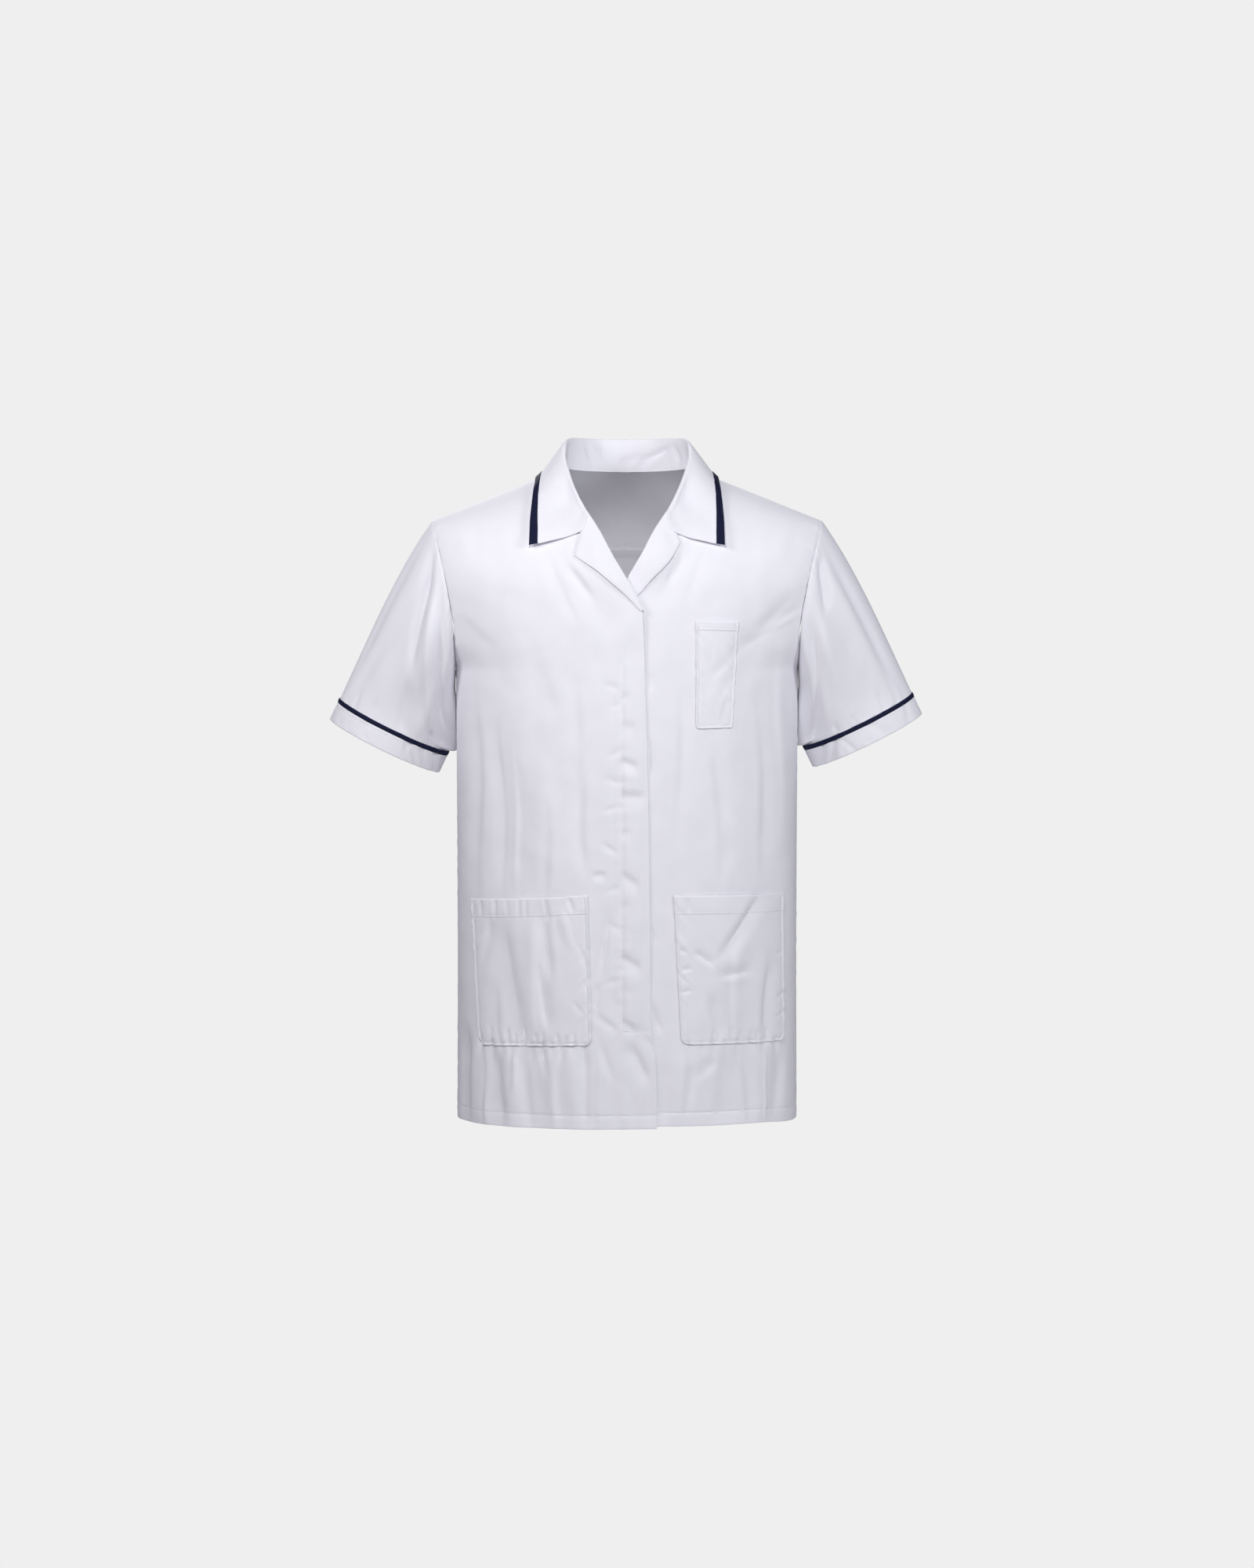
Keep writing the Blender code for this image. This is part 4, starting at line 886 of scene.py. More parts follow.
def half_panels(side):
    """Fine grids, normals, rows and places of one half's front and back."""
    turns = {
        FRONT: close_steps(HALF_ROUND, MESH_STEP, FREE_EDGE_STEPS, SEAM_STEPS) / HALF_ROUND,
        BACK: close_steps(HALF_ROUND, BACK_MESH_STEP, (0.0,), SEAM_STEPS) / HALF_ROUND,
    }
    grids = {}
    normals = {}
    rows = {}
    places = {}
    low = {}
    for face in (FRONT, BACK):
        rows[face] = fine_rows(side, face)
        low[face] = int(np.argmin(np.abs(rows[face] - UNDERARM_ROW[face])))
        x, z = fine_places(side, face, rows[face], turns[face])
        places[face] = (x, z)
        grids[face] = body_point(side, face, x, z)
        ratio = np.clip(x / half_width(z), -1.0, 1.0)
        rough = np.stack([side * ratio, face * (1.02 - np.abs(ratio)), 0.4 * (z > -60.0)], -1)
        normals[face] = grid_normals(grids[face], rough)
    meeting = unit(normals[FRONT][low[FRONT]:, -1] + normals[BACK][low[BACK]:, -1])
    normals[FRONT][low[FRONT]:, -1] = meeting
    normals[BACK][low[BACK]:, -1] = meeting
    below_neck = rows[BACK] >= NECK_BACK_ROW
    normals[BACK][below_neck, 0] = unit(normals[BACK][below_neck, 0] * (0.0, 1.0, 1.0))
    for face in (FRONT, BACK):
        over = unit(np.array([[0.35 * side, 0.15, 1.0]]))
        normals[face][0] = unit(normals[face][1] + over)
    return dict(grids=grids, normals=normals, rows=rows, places=places, low=low)


def free_edge(z):
    """How far past the centre the right front's free edge lies."""
    return -through(z, column(FRONT_ROWS, 1), column(FRONT_ROWS, 0))


def placket_line(z):
    """Stitch line that holds the placket, in the right front's own x."""
    return through(z, column(PLACKET_STITCH, 1), column(PLACKET_STITCH, 0))


def placket_height(x, z, line):
    """Puffs of the placket between the pulls, and the small puckers beside its stitch line."""
    strip = fading(x, line + STRIP_AT_LINE[0], line + STRIP_AT_LINE[1]) * between(x, *STRIP_AT_EDGE)
    height = PLACKET_PUFF * strip * (between(-z, *PUFFED[0]) * fading(-z, *PUFFED[1]))
    for place, depth, fall, width, reach in PLACKET_PULLS:
        from_line = line - x
        across = z - place + fall * from_line
        half = np.where(across > 0.0, *PULL_SIDES) * width
        along = between(from_line, *PULL_START) * fading(from_line, 0.55 * reach, reach)
        height = height - depth * bell(across, half) * along
    for at, place, slant, width, depth in PLACKET_PUCKERS:
        across = z - place + slant * (x - at)
        along = bell(x - at, PUCKER_REACH) * between(x - line, 0.5, 3.0)
        height = height - depth * bell(across, width) * along
    return height


def front_heights(side, edges, x, z):
    """Everything that shapes a front beyond its folds: creases, seams, grooves, edges."""
    from_edge = edges["first"][0]
    above_hem = edges["bottom"][0]
    height = crease_height(side, FRONT, x, z)
    if side == RIGHT:
        height = height * (CALM_SHARE + (1.0 - CALM_SHARE) * between(from_edge, *CALM_EDGE))
    height = height + seam_look(edges["top"], 0.7 + side)
    height = height + seam_look(edges["last"], 1.9 + side)
    flare = (1.0 - np.clip(above_hem / HEM_STITCH_ABOVE, 0.0, 1.0)) * fading(x, *FLARE_END)
    height = hem_sewn(height + HEM_FLARE * flare, edges["bottom"], 4.1 + side)
    if side == LEFT:
        covered = fading(x - free_edge(z), -8.0, -1.5)
        return height - UNDER_TUCK * covered * between(-z, *TUCK_FROM)
    height = height + FREE_EDGE_LIFT * between(-z, *BELOW_BREAK) * bell(from_edge, FREE_EDGE_REACH)
    line = placket_line(z)
    inside = between(-z, *STITCHED[0]) * fading(-z, *STITCHED[1])
    height = height - groove(x - line) * inside + gathers(np.abs(x - line), -z, 2.3, 6.0) * inside
    height = height + placket_height(x, z, line)
    faced = between(-z, *FACED[0]) * fading(-z, *FACED[1])
    height = height - FACING_DIP * bell(x - line - FACING_INSET, FACING_DIP_WIDTH) * faced
    return height - groove(z - PLACKET_BAR_Z) * fading(x, line - 0.5, line + 1.5)


def folded_wall(distance, span):
    """How much thicker the cloth is where its edge is folded."""
    return (EDGE_CLOTH - CLOTH) * fading(distance, *span)


def make_front(side, half, colour):
    x, z = half["places"][FRONT]
    grid = half["grids"][FRONT]
    normals = half["normals"][FRONT]
    edges = from_edges(grid)
    from_edge = edges["first"][0]
    above_hem = edges["bottom"][0]
    outer = grid + normals * front_heights(side, edges, x, z)[..., None]
    if side == LEFT:
        outer[..., 2] += UNDER_HEM_RISE * between(-z, *HEM_RISE_FROM) * fading(x, *HEM_RISE_END)
    free = half["rows"][FRONT][:, None] > BREAK_ROW
    wall = CLOTH + folded_wall(from_edge, FREE_FOLD) * free + folded_wall(above_hem, HEM_FOLD)
    wall = np.minimum(wall, 2.0 * EDGE_CLOTH - CLOTH)
    nearest = np.minimum(np.where(free, from_edge, 9.0), above_hem)
    outer, wall = rounded(outer, normals, wall, nearest)
    return wall_mesh("cloth_front_" + SIDES[side], [(outer, normals, wall)], colour)


def make_back(halves, colour):
    """The yoke with its round neck, and the back below it."""
    yoke = []
    panel = []
    for side, half in halves.items():
        grid = half["grids"][BACK]
        normals = half["normals"][BACK]
        seam = int(np.argmin(np.abs(half["rows"][BACK] - YOKE_ROW)))
        height = crease_height(side, BACK, *half["places"][BACK])
        height = height + seam_look(from_edges(grid)["last"], 3.3 + side)
        edges = from_edges(grid[:seam + 1])
        top = height[:seam + 1] + seam_look(edges["top"], 0.2 + side) + seam_look(edges["bottom"], 1.1)
        yoke.append((grid[:seam + 1] + normals[:seam + 1] * top[..., None], normals[:seam + 1], CLOTH))
        edges = from_edges(grid[seam:])
        low = hem_sewn(height[seam:] + seam_look(edges["top"], 2.6), edges["bottom"], 5.2 + side)
        outer = grid[seam:] + normals[seam:] * low[..., None]
        above_hem = edges["bottom"][0]
        wall = CLOTH + folded_wall(above_hem, HEM_FOLD) + YOKE_TURNING * fading(edges["top"][0], *YOKE_TURNED)
        outer, wall = rounded(outer, normals[seam:], wall, above_hem)
        panel.append((outer, normals[seam:], wall))
    return wall_mesh("cloth_back_yoke", yoke, colour), wall_mesh("cloth_back_panel", panel, colour)


def armhole_loop(half):
    """Armhole from the shoulder tip down the front to the underarm and up the back."""
    low = half["low"][FRONT]
    parts = ((FRONT, slice(0, low + 1)), (BACK, slice(half["low"][BACK] - 1, 0, -1)))
    points = np.concatenate([half["grids"][face][rows, -1] for face, rows in parts])
    outward = np.concatenate([half["normals"][face][rows, -1] for face, rows in parts])
    run = run_along(np.concatenate([points, points[:1]]))
    turn = np.where(
        np.arange(len(points)) <= low,
        math.pi * run[:-1] / run[low],
        math.pi * (1.0 + (run[:-1] - run[low]) / (run[-1] - run[low])),
    )
    return points, outward, turn


def sleeve_ring(side, ends, turn, spread=0.0):
    """Oval ring of the sleeve between its outer and inner ends."""
    outer_end, inner_end = (np.array(ends) + SLEEVE_SHIFT[side]) * (side, 1.0, 1.0)
    centre = (outer_end + inner_end) / 2.0
    half = (outer_end - inner_end) / 2.0
    across = half * (1.0 + spread / np.linalg.norm(half))
    forward = np.array([0.0, -SLEEVE_HALF_DEPTH - spread, -SLEEVE_FRONT_DIP])
    return centre + np.cos(turn)[:, None] * across + np.sin(turn)[:, None] * forward


def sleeve_form(side, half):
    """Grid of the sleeve from the armhole to the piping, its places along it and its turns."""
    start, outward, turn = armhole_loop(half)
    end = sleeve_ring(side, SLEEVE_TOP, turn)
    mirror = (side, 1.0, 1.0)
    axis = unit(np.array(SLEEVE_HEM[0]) - np.array(SLEEVE_TOP[0])) * mirror
    under = ((1.0 - np.cos(turn)) / 2.0)[:, None]
    leave = np.array(LEAVE_TOP) * mirror * (1.0 - under) + np.array(LEAVE_UNDER) * mirror * under
    leave = unit(leave - np.sin(turn)[:, None] * (0.0, LEAVE_SPREAD, 0.0))
    start = start + unit(outward + leave) * ARMHOLE_GAP
    reach = np.linalg.norm(end - start, axis=1)[:, None]
    first = start + leave * reach / 3.0
    second = end - axis * reach * (1.0 / 3.0 - under / 6.0)
    along = close_steps(SLEEVE_RUN, SLEEVE_MESH_STEP, SEAM_STEPS, SEAM_STEPS[:3]) / SLEEVE_RUN
    t = along[:, None, None]
    grid = start * (1 - t) ** 3 + first * 3 * t * (1 - t) ** 2 + second * 3 * t * t * (1 - t) + end * t ** 3
    return grid, along, turn


def sleeve_height(side, along, turn):
    """Folds of the sleeve's solid, its finer creases, and its sag towards the body."""
    degrees = np.degrees(turn)[None, :]
    along = along[:, None]
    folds = 0.0
    for centre, start, end, width, depth in SLEEVE_FOLDS[side]:
        reach = end - start
        ends = between(along, start - 0.1, start + 0.3 * reach) * fading(along, end - 0.3 * reach, end + 0.1)
        folds = folds + depth * ends * bell(degrees - centre, width)
    folds = folds * between(along, 0.0, 0.15) * fading(along, 0.85, 1.0)
    creases = 0.0
    for turn0, along0, turn1, along1, width, depth in SLEEVE_CREASES[side]:
        share = np.clip((along - along0) / (along1 - along0), -0.5, 1.5)
        centre = turn0 + (turn1 - turn0) * share
        ends = between(share, -0.2, 0.3) * fading(share, 0.75, 1.2)
        creases = creases + depth * ends * bell(degrees - centre, width)
    low = between(along, 0.22, 0.54) * fading(along, 0.94, 1.0)
    sag = INNER_SAG * low * bell(degrees - SAG_TURN, SAG_WIDTH)
    return folds + creases * between(along, 0.0, 0.08) + sag


def make_sleeve(side, half, tree, colour):
    grid, along, turn = sleeve_form(side, half)
    normals = ring_normals(grid)
    edges = from_edges(grid)
    height = sleeve_height(side, along, turn) + seam_look(edges["top"], 0.9 + 2.0 * side, 0.6)
    above, around = edges["bottom"]
    height = height + gathers(above, around, 2.2 + side, 12.0) * 1.3
    seam_at = around[:, [half["low"][FRONT]]]
    height = height - SEAM_DIP * bell(around - seam_at, SEAM_DIP_WIDTH)
    beside_body = (along[:, None] > 0.3) & (np.cos(turn)[None, :] < -0.4)
    clearance = np.where(beside_body, SLEEVE_CLEARANCE, NO_CLEARANCE)
    outer = kept_clear(grid + normals * height[..., None], tree, clearance)
    return wall_mesh("cloth_sleeve_" + SIDES[side], [(outer, normals, CLOTH)], colour, ring=True), turn


def sleeve_band(side, turn, places, spread):
    """Rings of the sleeve's end at distances below the top of the piping."""
    top = np.array(SLEEVE_TOP)
    hem = np.array(SLEEVE_HEM)
    shares = np.asarray(places) / np.linalg.norm(hem[0] - top[0])
    return np.array([sleeve_ring(side, top * (1 - share) + hem * share, turn, spread) for share in shares])


def make_piping(side, turn, colour):
    grid = sleeve_band(side, turn, np.linspace(0.0, PIPING_DEPTH, 8), 0.2)
    normals = ring_normals(grid)
    bow = np.sin(math.pi * np.linspace(0.0, 1.0, len(grid))) ** 0.5
    grid = grid + normals * (PIPING_BOW * bow)[:, None, None]
    return wall_mesh("cloth_piping_" + SIDES[side], [(grid, normals, PIPING_CLOTH)], colour, ring=True)


def make_cuff(side, turn, colour):
    """Cuff with its slanting dents, and the line of its stitches."""
    depth = np.linalg.norm(np.array(SLEEVE_HEM[0]) - np.array(SLEEVE_TOP[0]))
    places = close_steps(depth, CUFF_MESH_STEP, [PIPING_DEPTH + step for step in (0.0, 0.3, 0.9)], CUFF_STEPS)
    grid = sleeve_band(side, turn, places, 0.3)
    normals = ring_normals(grid)
    edges = from_edges(grid)
    below, around = edges["top"]
    above_hem = edges["bottom"][0]
    height = gathers(below - 2.0, around, 3.1 + side, 9.0) + gathers(above_hem - 2.0, around, 1.3 + side, 6.0)
    dents = 0.0
    for centre, slant, width, dent in CUFF_CREASES[side]:
        dents = dents + dent * bell(np.degrees(turn)[None, :] - centre - slant * (below - CUFF_MIDDLE), width)
    height = height + dents + CUFF_ROLL * bell(below - 0.9, 0.9)
    height = height - EDGE_LINE_DIP * bell(below - CUFF_STITCH_BELOW, 1.1)
    wall = np.full(grid.shape[:2], CUFF_CLOTH)
    outer, wall = rounded(grid + normals * height[..., None], normals, wall, np.minimum(below, above_hem))
    piece = wall_mesh("cloth_cuff_" + SIDES[side], [(outer, normals, wall)], colour, ring=True)
    line = np.argmin(np.abs(below[:, 0] - CUFF_STITCH_BELOW))
    return piece, (outer[line], normals[line])


def surface_tree(grids):
    """Search tree over some grids' outer faces."""
    points = []
    faces = []
    for grid in grids:
        rows, columns = grid.shape[:2]
        ids = len(points) + np.arange(rows * columns).reshape(rows, columns)
        points.extend(grid.reshape(-1, 3).tolist())
        faces.extend(grid_faces(ids).tolist())
    return BVHTree.FromPolygons(points, faces)


def kept_clear(grid, tree, clearance):
    """Points pushed out to a distance from the body; clearance is given for each point."""
    result = grid.copy()
    for place in np.ndindex(grid.shape[:2]):
        point = Vector(grid[place])
        near, normal, _, _ = tree.find_nearest(point)
        # Outward is level on the trunk and upwards over the shoulders.
        outward = Vector((near.x, near.y, max(near.z + 60.0, 0.0) * 2.0))
        if normal.dot(outward) < 0.0:
            normal = -normal
        short = clearance[place] - (point - near).dot(normal)
        if short > 0.0:
            result[place] = point + normal * short
    return result


def neckline(side):
    """Neck edge of one half from the centre back to the top of the roll line."""
    back = [body_point(side, BACK, x, z) for x, z, _ in BACK_ROWS[NECK_BACK_ROW::-1]]
    front = [body_point(side, FRONT, x, z) for x, z, _ in FRONT_ROWS[1:ROLL_TOP_ROW + 1]]
    return np.array(back + front)


def collar_half(side, tree):
    """Sections of half the collar from the centre back to its front edge."""
    shares = np.linspace(0.0, 1.0, COLLAR_STATIONS)
    mirror = np.array([side, 1.0, 1.0])
    edge = neckline(side)
    seam = at_places(shares * (len(edge) - 1), range(len(edge)), edge)
    roll = curve_point(COLLAR_ROLL, shares) * mirror
    outer = curve_point(COLLAR_EDGE, shares) * mirror
    notch = np.array([GORGE_NOTCH[0] * side, 0.0, GORGE_NOTCH[1]])
    sections = []
    for share, foot, top, end in zip(shares, seam, roll, outer):
        foot = foot + unit(top - foot) * COLLAR_FOOT
        away = unit((end - top) * (1.0, 1.0, 0.0))
        led_down = notch * GORGE_START * between(share, GORGE_START_STATION, 1.0)
        top = top + led_down
        section = [foot + (top - foot) * step for step in COLLAR_STAND_STEPS]
        section.append(top + away * ROLL_RADIUS * 0.5 + np.array([0.0, 0.0, ROLL_RADIUS * 0.45]))
        shoulder = top + away * ROLL_RADIUS * 1.6
        corner = between(share, GORGE_FROM_STATION, 1.0)
        for step in COLLAR_FALL_STEPS:
            if step < GORGE_NOTCH_AT:
                bow = (step / GORGE_NOTCH_AT) ** GORGE_BOW
            else:
                bow = (1.0 - step) / (1.0 - GORGE_NOTCH_AT)
            place = shoulder + (end - shoulder) * step + notch * corner * bow
            section.append(place - led_down * (1.0 - step) * bow)
        sections.append(section)
    grid = np.array(sections)
    clearance = np.full(grid.shape[:2], NO_CLEARANCE)
    clearance[:, len(COLLAR_STAND_STEPS) + 1:] = COLLAR_HOVER
    return kept_clear(grid, tree, clearance)


def resampled(grid, places):
    """Smooth curve through a grid's rows at fractional row places."""
    count = len(grid)
    i = np.clip(np.floor(places).astype(int), 0, count - 2)
    t = (places - i)[:, None, None]
    a = grid[i]
    b = grid[i + 1]
    before = np.where((i > 0)[:, None, None], grid[np.maximum(i - 1, 0)], 2.0 * a - b)
    after = np.where((i + 2 < count)[:, None, None], grid[np.minimum(i + 2, count - 1)], 2.0 * b - a)
    start = (b - before) / 2.0
    end = (after - a) / 2.0
    return (
        a * (2 * t ** 3 - 3 * t ** 2 + 1)
        + start * (t ** 3 - 2 * t ** 2 + t)
        + b * (3 * t ** 2 - 2 * t ** 3)
        + end * (t ** 3 - t ** 2)
    )


def stand_creases(from_seam, run):
    """Slanting creases on the standing part of the collar, and small gathers at its seam."""
    height = gathers(from_seam, run, 2.9, 9.0) * 1.5 - 0.5 * bell(from_seam - COLLAR_STITCH_ABOVE, 1.0)
    return add_marks(height, STAND_CREASES, run, from_seam)


def make_collar(tree, colour):
    """Collar: rows run round the neck, columns from the neck seam over the roll to its edge."""
    coarse = np.concatenate([collar_half(RIGHT, tree)[::-1], collar_half(LEFT, tree)[1:]])
    step_round, step_out = COLLAR_MESH_STEPS
    rows = close_steps(len(coarse) - 1.0, step_round, COLLAR_ROW_STEPS, COLLAR_ROW_STEPS)
    columns = close_steps(coarse.shape[1] - 1.0, step_out, (0.0,), COLLAR_EDGE_STEPS)
    grid = resampled(coarse, rows)
    grid = resampled(grid.transpose(1, 0, 2), columns).transpose(1, 0, 2)
    normals = grid_normals(grid, np.zeros_like(grid))
    fall = columns > len(COLLAR_STAND_STEPS) + 3
    if np.sum(normals[:, fall] * (grid[:, fall] + [0.0, 0.0, 120.0])) < 0.0:
        normals = -normals
    edges = from_edges(grid)
    from_edge, run = edges["last"]
    ends = np.minimum(edges["top"][0], edges["bottom"][0])
    height = gathers(np.abs(from_edge - TAPE_INSET - TAPE_WIDTH - 1.0), run, 0.4, 6.0)
    height = height + 0.35 * np.sin(run / 31.0 + 0.8) * np.sin(from_edge / 17.0 + run / 90.0)
    height = height + COLLAR_TIP_LIFT * (fading(ends, 4.0, 45.0) * fading(from_edge, 20.0, 60.0))
    at_gorge = between(from_edge, *GORGE_WIDTH) * (columns > len(COLLAR_STAND_STEPS))
    height = height + GORGE_RISE * at_gorge * fading(ends, *GORGE_RISE_REACH)
    height = height + stand_creases(edges["first"][0], run - run[len(run) // 2])
    height = height - EDGE_LINE_DIP * bell(ends - 2.0, 1.0)
    height = height - EDGE_LINE_DIP * bell(from_edge - TAPE_INSET * 0.2, 0.8)
    nearest = np.minimum(from_edge, ends)
    wall = COLLAR_CLOTH + 0.6 * fading(nearest, *COLLAR_FOLD)
    outer, wall = rounded(grid + normals * height[..., None], normals, wall, nearest)
    return wall_mesh("cloth_collar", [(outer, normals, wall)], colour), outer, normals


def make_tape(grid, normals, colour):
    """Navy tape sewn just inside the collar's edge."""
    from_edge = from_edges(grid)["last"][0][:, ::-1]
    strip = []
    facing = []
    for step in TAPE_STEPS:
        place = TAPE_INSET + step * TAPE_WIDTH
        points = np.array([at_places(place, run, row[::-1]) for run, row in zip(from_edge, grid)])
        normal = unit(np.array([at_places(place, run, row[::-1]) for run, row in zip(from_edge, normals)]))
        edge_drop = 0.22 * (step in (0.0, 1.0))
        stitch_drop = 0.1 * bell(min(step, 1.0 - step) - 0.12, 0.06)
        lift = TAPE_HEIGHT - edge_drop - stitch_drop + 0.08 * np.sin(run_along(points) / 6.0 + 3.0 * step)
        strip.append(points + normal * lift[:, None])
        facing.append(normal)
    strip, facing = (np.array(part).transpose(1, 0, 2) for part in (strip, facing))
    return wall_mesh("cloth_collar_tape", [(strip, facing, TAPE_CLOTH)], colour)


def led_on(table, at):
    """Point of a table's curve, led on straight before its start."""
    start = curve_point(table, 0.0)
    direction = (curve_point(table, 0.02) - start) / 0.02
    return (curve_point(table, np.maximum(at, 0.0)) + np.minimum(at, 0.0)[:, None] * direction)[:, None, :2]


def make_lapel(side, colour):
    """Turned-back revers with its rolled fold; rows run from the gorge to the break point."""
    step_along, step_across = LAPEL_MESH_STEPS
    along = close_steps(LAPEL_LENGTH + LAPEL_UNDER, step_along, LAPEL_STEPS, LAPEL_STEPS) - LAPEL_UNDER
    along = along / LAPEL_LENGTH
    across = close_steps(LAPEL_WIDTH, step_across, (0.0,), SEAM_STEPS)[None, :] / LAPEL_WIDTH
    roll = led_on(FRONT_ROWS[ROLL_TOP_ROW:BREAK_ROW + 1], along)
    outer = led_on(LAPEL_EDGE[side], along)
    place = roll + (outer - roll) * across[..., None]
    x = place[..., 0]
    z = place[..., 1]
    along = along[:, None]
    below_gorge = along * LAPEL_LENGTH
    lift = LAPEL_LIFT[side] * np.sin(math.pi * LAPEL_LIFT_TURN * across)
    lift = lift * fading(along, *LAPEL_LIFT_ENDS[side]) * between(below_gorge, *LAPEL_LIFT_FROM)
    from_outer = (1.0 - across) * np.linalg.norm(outer - roll, axis=-1)
    height = LAPEL_HEIGHT + lift + LAPEL_RISE * fading(below_gorge, *LAPEL_RISE_END)
    height = height - EDGE_LINE_DIP * bell(from_outer - 1.2, 0.9) + LAPEL_TUCK * np.minimum(below_gorge, 0.0)
    flat, normal = on_cloth(side, FRONT, x, z, height)
    start = cloth_point(side, FRONT, x[:, 0], z[:, 0])
    away = unit(start - cloth_point(side, FRONT, x[:, 3], z[:, 3]))
    up = normal[:, 0]
    fold = []
    fold_normals = []
    for angle in np.linspace(-0.5 * math.pi, 0.5 * math.pi, LAPEL_FOLD_STEPS + 1)[:-1]:
        outward = away * math.cos(angle) + up * math.sin(angle)
        fold.append(start + up * (height[:, :1] - LAPEL_FOLD_RADIUS) + outward * LAPEL_FOLD_RADIUS)
        fold_normals.append(outward)
    grid = np.concatenate([np.array(fold).transpose(1, 0, 2), flat], axis=1)
    normals = np.concatenate([np.array(fold_normals).transpose(1, 0, 2), normal], axis=1)
    edges = from_edges(grid)
    nearest = np.minimum(edges["last"][0], edges["top"][0])
    grid, wall = rounded(grid, normals, CLOTH + 0.5 * fading(nearest, *COLLAR_FOLD), nearest)
    return wall_mesh("cloth_lapel_" + SIDES[side], [(grid, normals, wall)], colour)


def make_pocket(name, colour, side, inner_top, outer_top, inner_low, outer_low, hem, corner, bulge):
    """Patch pocket with a folded hem at its mouth and an edge stitch round it."""
    depth = inner_top[1] - inner_low[1]
    width = outer_top[0] - inner_top[0]
    rows = close_steps(depth, POCKET_MESH_STEP, POCKET_EDGE_STEPS[:3], POCKET_EDGE_STEPS)
    distance = np.unique(np.concatenate([rows, hem + np.array(POCKET_HEM_STEPS)]))
    share = (distance / depth)[:, None]
    from_low = np.clip(corner - (depth - distance), 0.0, corner)[:, None]
    inset = corner - np.sqrt(corner ** 2 - from_low ** 2)
    across = close_steps(width, POCKET_MESH_STEP, POCKET_EDGE_STEPS, POCKET_EDGE_STEPS)[None, :] / width
    inner = np.array(inner_top) * (1.0 - share) + np.array(inner_low) * share
    outer = np.array(outer_top) * (1.0 - share) + np.array(outer_low) * share
    start = inner[:, :1] + inset
    x = start + (outer[:, :1] - inset - start) * across
    z = inner[:, 1:] + (outer[:, 1:] - inner[:, 1:]) * across
    below = distance[:, None] + 0.0 * across
    edge = np.minimum(np.minimum(across, 1.0 - across) * width, depth - below)
    open_to = between(below, 0.0, 6.0)
    from_stitch = edge - STITCH_INSET
    in_hem = fading(below, hem - 0.6, hem + 0.6)
    height = POCKET_LIFT + bulge * np.sin(math.pi * across) ** 0.8 * (1.0 - share ** 2)
    height = height + add_marks(0.0, POCKET_CREASES[name], x, z) * between(edge, 2.0, 16.0)
    height = height + gathers(np.abs(from_stitch), x + z, bulge + side, 7.0) * POCKET_GATHER / SEAM_GATHER
    height = height - POCKET_STITCH_DIP * bell(from_stitch, 1.0) * open_to
    height = height + POCKET_EDGE_RISE * bell(edge - POCKET_EDGE_AT, 0.9) * open_to
    height = height + POCKET_HEM_RISE * in_hem
    height = height - EDGE_LINE_DIP * bell(below - hem + POCKET_HEM_STITCH, 0.9)
    grid, normals = on_cloth(side, FRONT, x, z, np.maximum(height, POCKET_LIFT - 0.15))
    wall = CLOTH + POCKET_HEM_RISE * in_hem * 0.8
    outer_grid, wall = rounded(grid, normals, wall, np.minimum(edge, below))
    piece = wall_mesh("cloth_" + name, [(outer_grid, normals, wall)], colour)
    row = int(np.argmin(np.abs(distance - hem + POCKET_HEM_STITCH)))
    low = int(np.argmin(np.abs(depth - distance - STITCH_INSET)))
    first = int(np.argmin(np.abs(across[0] * width - STITCH_INSET)))
    last = grid.shape[1] - 1 - first
    down = slice(1, low + 1)
    around = [
        np.concatenate([table[down, first], table[low, first + 1:last], table[down, last][::-1]])
        for table in (grid, normals)
    ]
    return piece, [around, (grid[row, first:last + 1], normals[row, first:last + 1])]


def stitch_row(points, normals):
    """Vertices and faces of a row of stitches along a line on the cloth."""
    run = run_along(points)
    count = int(run[-1] / STITCH_PITCH)
    centres = (np.arange(count) + 0.5) * STITCH_PITCH
    verts = []
    for shift, size in STITCH_SECTIONS:
        at = centres + shift * STITCH_LENGTH
        normal = unit(at_places(at, run, normals))
        beside = unit(np.cross(at_places(at + 0.5, run, points) - at_places(at - 0.5, run, points), normal))
        base = at_places(at, run, points) + normal * STITCH_LIFT
        for aside, rise in STITCH_PROFILE:
            verts.append(base + beside * STITCH_WIDTH * aside * size + normal * STITCH_HEIGHT * rise * size)
    verts = np.array(verts).transpose(1, 0, 2).reshape(-1, 3)
    faces = [
        (a + corner, a + (corner + 1) % 4, a + (corner + 1) % 4 + 4, a + corner + 4)
        for a in (0, 4, 8) for corner in range(4)
    ]
    faces += [(3, 2, 1, 0), (12, 13, 14, 15)]
    starts = 16 * np.arange(count)
    return verts, (np.array(faces) + starts[:, None, None]).reshape(-1, 4)


def make_stitches(name, lines, colour):
    """Rows of stitches as one piece."""
    verts = []
    faces = []
    start = 0
    for points, normals in lines:
        row_verts, row_faces = stitch_row(points, normals)
        verts.append(row_verts)
        faces.append(row_faces + start)
        start += len(row_verts)
    verts = np.concatenate(verts) * MM
    return cloth_object(name, verts, np.concatenate(faces), verts[:, [0, 2]], colour)


